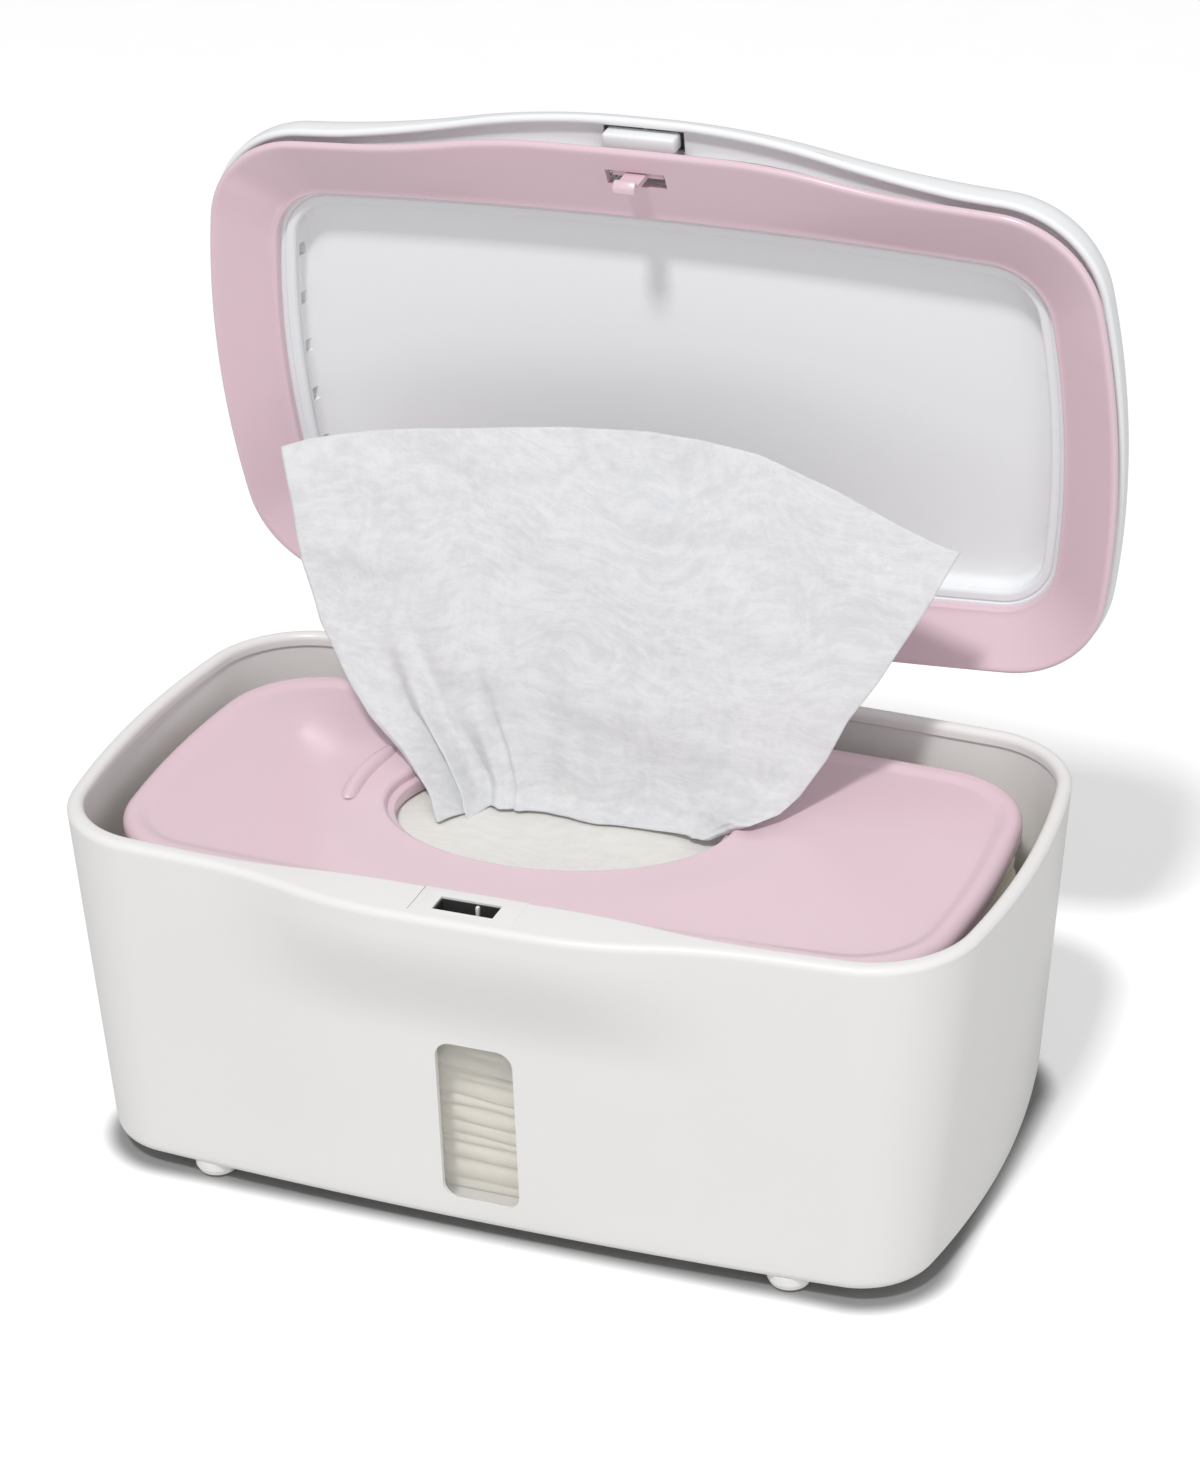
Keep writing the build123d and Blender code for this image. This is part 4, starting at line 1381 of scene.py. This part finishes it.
@dataclass
class PulledWipe:
    """The wipe that stands up through the opening, in millimetres."""

    lean: float = 0.46
    lean_from: float = 49.8
    columns: int = 260
    rows: int = 150
    flat: tuple[float, float] = (0.190, 0.097)
    left: tuple[tuple[float, ...], ...] = (
        (-38.5, 71.3, 12.0), (-40.8, 72.8, 10.5), (-43.8, 76.5, 7.0), (-51.8, 84.0, 6.0),
        (-60.9, 90.8, 4.0), (-65.7, 95.9, 2.5), (-70.7, 102.1, 1.0), (-77.4, 110.4, 0.0),
        (-84.7, 123.3, 0.0), (-91.4, 140.8, 0.0), (-94.1, 147.8, 0.0),
    )
    right: tuple[tuple[float, ...], ...] = (
        (32.4, 77.0, 3.0), (36.1, 78.0, 6.0), (40.9, 80.2, 9.5), (48.0, 83.6, 5.0),
        (52.5, 88.0, 2.0), (58.1, 96.8, 0.5), (62.3, 106.1, 0.0), (68.5, 115.3, 0.0),
        (72.3, 122.3, 0.0), (78.2, 132.7, 0.0), (82.9, 142.5, 0.0), (84.4, 145.5, 0.0),
    )
    top: tuple[tuple[float, ...], ...] = (
        (-94.1, 147.8), (-86.0, 150.5), (-70.0, 154.1), (-51.5, 156.7), (-20.0, 160.3), (3.2, 162.2),
        (16.0, 162.2), (31.6, 160.6), (52.6, 155.2), (68.3, 149.8), (81.1, 146.0), (84.4, 145.5),
    )
    foot: tuple[tuple[float, ...], ...] = (
        (-38.5, 71.3), (-28.5, 74.2), (-23.6, 76.7), (2.8, 76.9), (32.4, 77.0),
    )
    toward: tuple = (0.34, -0.82, 0.46)

    @staticmethod
    def _along(line: Sequence[tuple[float, ...]], t: Points) -> Points:
        """Points along a broken line, with what its other columns give there.

        Args:
            line: its corners, each with two places and any further values.
            t: shares of its length.

        Returns:
            A row for each share.
        """
        points = np.array(line, float)
        lengths = np.concatenate([[0], np.cumsum(np.linalg.norm(np.diff(points[:, :2], axis=0), axis=1))])
        at = np.asarray(t) * lengths[-1]
        return np.column_stack([np.interp(at, lengths, points[:, i]) for i in range(points.shape[1])])

    def build(self) -> None:
        """Build the cloth as a thin closed sheet."""
        u = np.linspace(0, 1, self.columns)
        v = np.linspace(0, 1, self.rows)
        left, left_lift = np.split(self._along(self.left, v), [2], axis=1)
        right, right_lift = np.split(self._along(self.right, v), [2], axis=1)
        top = self._along(self.top, u)
        foot = self._along(self.foot, u)
        uu, vv = np.meshgrid(u, v)
        blend_lr = left[:, None, :] * (1 - uu)[..., None] + right[:, None, :] * uu[..., None]
        blend_bt = foot[None, :, :] * (1 - vv)[..., None] + top[None, :, :] * vv[..., None]
        corners = (
            foot[0] * ((1 - uu) * (1 - vv))[..., None]
            + foot[-1] * (uu * (1 - vv))[..., None]
            + top[0] * ((1 - uu) * vv)[..., None]
            + top[-1] * (uu * vv)[..., None]
        )
        flat = blend_lr + blend_bt - corners
        x, z = flat[..., 0], flat[..., 1]
        y = self.lean * (z - self.lean_from) + self._folds(uu, vv, x, z)
        lift = left_lift * np.exp(-((uu / 0.13) ** 2)) + right_lift * np.exp(-(((1 - uu) / 0.13) ** 2))
        front = (np.stack([x, y, z], axis=-1) + lift[..., None] * np.array(self.toward)).reshape(-1, 3)
        self._solid(front)

    def _folds(self, u: Points, v: Points, x: Points, z: Points) -> Points:
        """How far the cloth stands off its leaning plane.

        Args:
            u: share of the way from its left edge to its right one.
            v: share of the way up.
            x: place across, in millimetres.
            z: height.

        Returns:
            The distances towards the back.
        """
        rise = np.clip((z - 77.0) / 86.0, 0, 1)
        neck = 1 - smooth(rise / 0.75)
        fan = u + 0.035 * np.sin(2 * math.pi * (1.7 * u + 0.3)) + 0.012 * np.sin(2 * math.pi * (6.3 * u + 0.1))
        left_gather = np.exp(-(((u - 0.13) / 0.12) ** 2))
        right_gather = np.exp(-(((u - 0.95) / 0.05) ** 2))
        pleats = (
            3.6 * left_gather * np.sin(2 * math.pi * (fan * 13 + 0.35 * v)) * (1 - smooth(rise / 0.5))
            + 1.1 * left_gather * np.sin(2 * math.pi * (fan * 29 - 0.6 * v)) * (1 - smooth(rise / 0.35))
            + 0.35 * right_gather * np.sin(2 * math.pi * fan * 15) * (1 - smooth(rise / 0.4))
            + 0.9 * np.sin(2 * math.pi * (fan * 2.7 + 0.35 * v + 0.1)) * neck
            + 0.35 * np.sin(2 * math.pi * (fan * 6.1 - 0.4 * v)) * neck
        )
        belly = -5.0 * np.sin(math.pi * np.clip(u, 0, 1)) * smooth(rise / 0.35) * (1 - 0.7 * rise)
        drape = 3.0 * np.sin(2 * math.pi * (0.55 * u + 0.1)) * rise
        rng = np.random.default_rng(7)
        crinkle = np.zeros_like(u)
        for _ in range(26):
            angle = rng.uniform(-0.5, 0.5) + 0.25
            wave = rng.uniform(9.0, 34.0)
            phase = rng.uniform(0, 2 * math.pi)
            size = rng.uniform(0.05, 0.16)
            crinkle += size * np.sin(2 * math.pi * (x * math.sin(angle) + z * math.cos(angle)) / wave + phase)
        curl = -3.5 * np.clip(1 - v / 0.07, 0, 1) ** 2
        return curl + pleats * smooth(0.6 + v / 0.1) + belly + drape + crinkle * (0.4 + 0.6 * smooth(rise / 0.2))

    def _solid(self, front: Points) -> None:
        """Close the sheet with its back, a little behind, and say what it is.

        Args:
            front: the points of its front.
        """
        cloth = sheet_solid("standing_wipe", front, front + [0.0, 0.35, -0.15], self.rows, self.columns)
        stand_for(cloth, Finish.WIPE, "wipe", "pulled_wipe")
        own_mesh(cloth)


@dataclass
class WipeStack:
    """The folded wipes in the tub, in millimetres."""

    floor: float = 7.0
    top: float = 75.0
    half_w: float = 99.0
    half_d: float = 52.5
    shift: float = -0.8
    layers: int = 17

    def build(self) -> None:
        """Build the stack and the flat wipe on top."""
        self._stack()
        self._top_wipe()

    def _stack(self) -> None:
        """A block whose sides show the folded layers, a little uneven."""
        rng = np.random.default_rng(3)
        rings: list[Ring] = []
        base = self._dense(rounded_rectangle(2 * self.half_w, 2 * self.half_d, 8.0, 8), 3.0)
        loop = Loop.closed(base)
        edges = np.cumsum(rng.uniform(0.6, 1.6, self.layers + 1))
        edges = self.floor + (edges - edges[0]) / (edges[-1] - edges[0]) * (self.top - self.floor)
        for i, (low, high) in enumerate(zip(edges, edges[1:])):
            step = high - low
            depth = rng.uniform(0.0, 0.9)
            slant = -1.1 * np.sin(base[:, 0] * 0.075 + rng.uniform(-0.35, 0.35))
            height = slant + 0.25 * np.sin(base[:, 0] * 0.31 + 2.4 * i)
            height = height * math.sin(math.pi * (i + 0.5) / self.layers)
            for share, inset in ((0.02, 0.9), (0.14, 0.25), (0.5, 0.0), (0.86, 0.2)):
                rings.append((loop.inset(depth + inset), low + share * step + height))
        rings[0] = (rings[0][0], self.floor)
        rings[-1] = (rings[-1][0], self.top)
        stack = skin("folded_wipes", [(plan + [0.0, self.shift], z) for plan, z in rings], 180.0)
        # Its finish is lightened: painted light on the wipes seen through the window.
        stand_for(stack, Finish.STACK, "tub", "wipes_stack")
        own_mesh(stack)

    @staticmethod
    def _dense(points: Points, step: float) -> Points:
        """A closed line with points added between its corners.

        Args:
            points: its corners.
            step: about how far apart the points may be.

        Returns:
            All its points.
        """
        out = []
        for a, b in zip(points, np.roll(points, -1, axis=0)):
            count = max(1, int(np.linalg.norm(b - a) / step))
            out += [a + (b - a) * k / count for k in range(count)]
        return np.array(out)

    def _top_wipe(self) -> None:
        """The flat wipe that shows in the plate's opening, with low soft wrinkles."""
        nx, ny = 150, 80
        xs = np.linspace(-95.0, 95.0, nx)
        ys = np.linspace(-48.5, 48.5, ny) + self.shift
        xx, yy = np.meshgrid(xs, ys)
        lift = 0.16 * np.sin(xx * 0.11 + yy * 0.05) + 0.12 * np.sin(yy * 0.23 - xx * 0.04 + 1.0)
        front = np.stack([xx, yy, 76.0 + lift * 0.9], axis=-1).reshape(-1, 3)
        back = front.copy()
        back[:, 2] = 75.4 + 0.1 * lift.reshape(-1)
        sheet = sheet_solid("top_wipe_sheet", front, back, ny, nx)
        stand_for(sheet, Finish.FLAT_WIPE, "wipes", "top_wipe")


@dataclass
class Studio:
    """Floor, lights and the camera."""

    azimuth: float = 22.52
    elevation: float = 27.543
    roll: float = -2.118
    distance: float = 951.673
    target: tuple[float, float, float] = (8.778, 0.01, 106.48)
    focal_pixels: float = 4017.05
    image_height: float = 1467.0
    sensor: float = 36.0
    floor_half: float = 6.0
    glow: float = 0.25
    world_light: float = 0.5
    # Outline of the painted contact shadow under the tub, in metres.
    foot_half: Pair = (0.0875, 0.0395)
    foot_corner: float = 0.022
    lamps: tuple[tuple[str, Colour, float, float], ...] = (
        ("key", (0.16, -2.4, 3.87), 0.45, 110.0),
        ("fill", (1.5, -0.9, 0.6), 1.3, 4.0),
    )

    def build(self) -> None:
        """Set up everything around the dispenser."""
        scene = bpy.context.scene
        scene.view_settings.view_transform = "Standard"
        self._floor()
        self._world()
        for lamp in self.lamps:
            self._lamp(*lamp)
        self._camera()

    def _floor(self) -> None:
        """A pale floor that shows white to the camera and keeps the cast shadow, with a painted contact shadow under
        the tub's foot outline.
        """
        size = self.floor_half
        corners = [(-size, -size, 0), (size, -size, 0), (size, size, 0), (-size, size, 0)]
        mesh = bpy.data.meshes.new("floor")
        mesh.from_pydata(corners, [], [(0, 1, 2, 3)])
        floor = bpy.data.objects.new("floor", mesh)
        bpy.context.scene.collection.objects.link(floor)
        graph = Graph("floor_paper")
        grain = graph.noise(graph.place(), 40.0, 2.0)
        paper = graph.mix(grain, (0.87, 0.87, 0.87), (0.89, 0.89, 0.89))
        seen = graph.add("ShaderNodeLightPath", {}, {}, "Is Camera Ray")
        # Painted contact shadow: under the tub's foot outline the floor is painted dark grey (0.3) for the camera.
        outside_painted_shadow = self._beyond_base(graph).ramp(-0.004, 0.003)
        paper_with_painted_shadow = graph.mix(outside_painted_shadow, (0.3, 0.3, 0.3), paper)
        graph.set(Base_Color=graph.mix(seen, (0.7, 0.7, 0.7), paper_with_painted_shadow))
        graph.set(Roughness=0.9, Specular_IOR_Level=0.0)
        # No glow inside the painted contact shadow, so it stays dark.
        graph.set(Emission_Color=graph.mix(seen * outside_painted_shadow, (0.0, 0.0, 0.0), (1.0, 1.0, 1.0)))
        graph.set(Emission_Strength=self.glow)
        mesh.materials.append(graph.material)

    def _beyond_base(self, graph: Graph) -> Sock:
        """How far a point of the floor lies from the tub's foot outline, the edge of the painted contact shadow.

        Args:
            graph: the floor's graph.

        Returns:
            The distance in metres, less than 0 under the tub.
        """
        split = graph.add("ShaderNodeSeparateXYZ", {}, {"Vector": graph.place()})
        deep = graph.output_of(split, "Y")
        x = (abs(split) - self.foot_half[0]).most(0.0)
        y = (abs(deep) - self.foot_half[1]).most(0.0)
        return (x * x + y * y).root() - self.foot_corner

    def _world(self) -> None:
        """Even pale light from all sides, white to the camera."""
        world = bpy.data.worlds.new("studio")
        bpy.context.scene.world = world
        world.use_nodes = True
        tree = world.node_tree
        tree.nodes.clear()
        kinds = ("LightPath", "MixShader", "OutputWorld")
        path, mix, output = (tree.nodes.new(f"ShaderNode{kind}") for kind in kinds)
        tree.links.new(path.outputs["Is Camera Ray"], mix.inputs[0])
        for number, strength in ((1, self.world_light), (2, 1.0)):
            light = tree.nodes.new("ShaderNodeBackground")
            light.inputs["Color"].default_value = (1.0, 1.0, 1.0, 1.0)
            light.inputs["Strength"].default_value = strength
            tree.links.new(light.outputs[0], mix.inputs[number])
        tree.links.new(mix.outputs[0], output.inputs["Surface"])

    def _lamp(self, name: str, place: tuple[float, float, float], size: float, power: float) -> None:
        """A square lamp that points at the dispenser.

        Args:
            name: its name.
            place: where it stands, in metres.
            size: its side in metres.
            power: its power in watts.
        """
        data = bpy.data.lights.new(name, "AREA")
        data.shape = "SQUARE"
        data.size = size
        data.energy = power
        lamp = bpy.data.objects.new(name, data)
        bpy.context.scene.collection.objects.link(lamp)
        lamp.location = place
        aim = Vector((0.0, 0.0, 0.1)) - Vector(place)
        lamp.rotation_euler = aim.to_track_quat("-Z", "Y").to_euler()

    def _camera(self) -> None:
        """The camera at the photograph's angle."""
        az, el, roll = (math.radians(a) for a in (self.azimuth, self.elevation, self.roll))
        back = Vector((math.sin(az) * math.cos(el), -math.cos(az) * math.cos(el), math.sin(el)))
        right = (-back).cross(Vector((0, 0, 1))).normalized()
        up = right.cross(-back)
        right, up = right * math.cos(roll) + up * math.sin(roll), up * math.cos(roll) - right * math.sin(roll)
        data = bpy.data.cameras.new("camera")
        data.sensor_width = self.sensor
        data.lens = self.focal_pixels * self.sensor / self.image_height
        data.clip_start = 0.05
        data.clip_end = 20.0
        camera = bpy.data.objects.new("camera", data)
        bpy.context.scene.collection.objects.link(camera)
        turn = Matrix((right, up, back)).transposed().to_4x4()
        place = (Vector(self.target) + back * self.distance) * MM
        camera.matrix_world = Matrix.Translation(place) @ turn
        bpy.context.scene.camera = camera


def main() -> None:
    """Build the dispenser and the studio around it."""
    logging.basicConfig(level=logging.INFO)
    hinge = Hinge()
    sections: list[Callable[[], None]] = [
        Studio().build,
        Tub(hinge).build,
        WipeStack().build,
        WeightedPlate().build,
        PulledWipe().build,
        Lid(hinge).build,
        Latch(hinge).build,
    ]
    for build in sections:
        build()


if __name__ == "__main__":
    main()
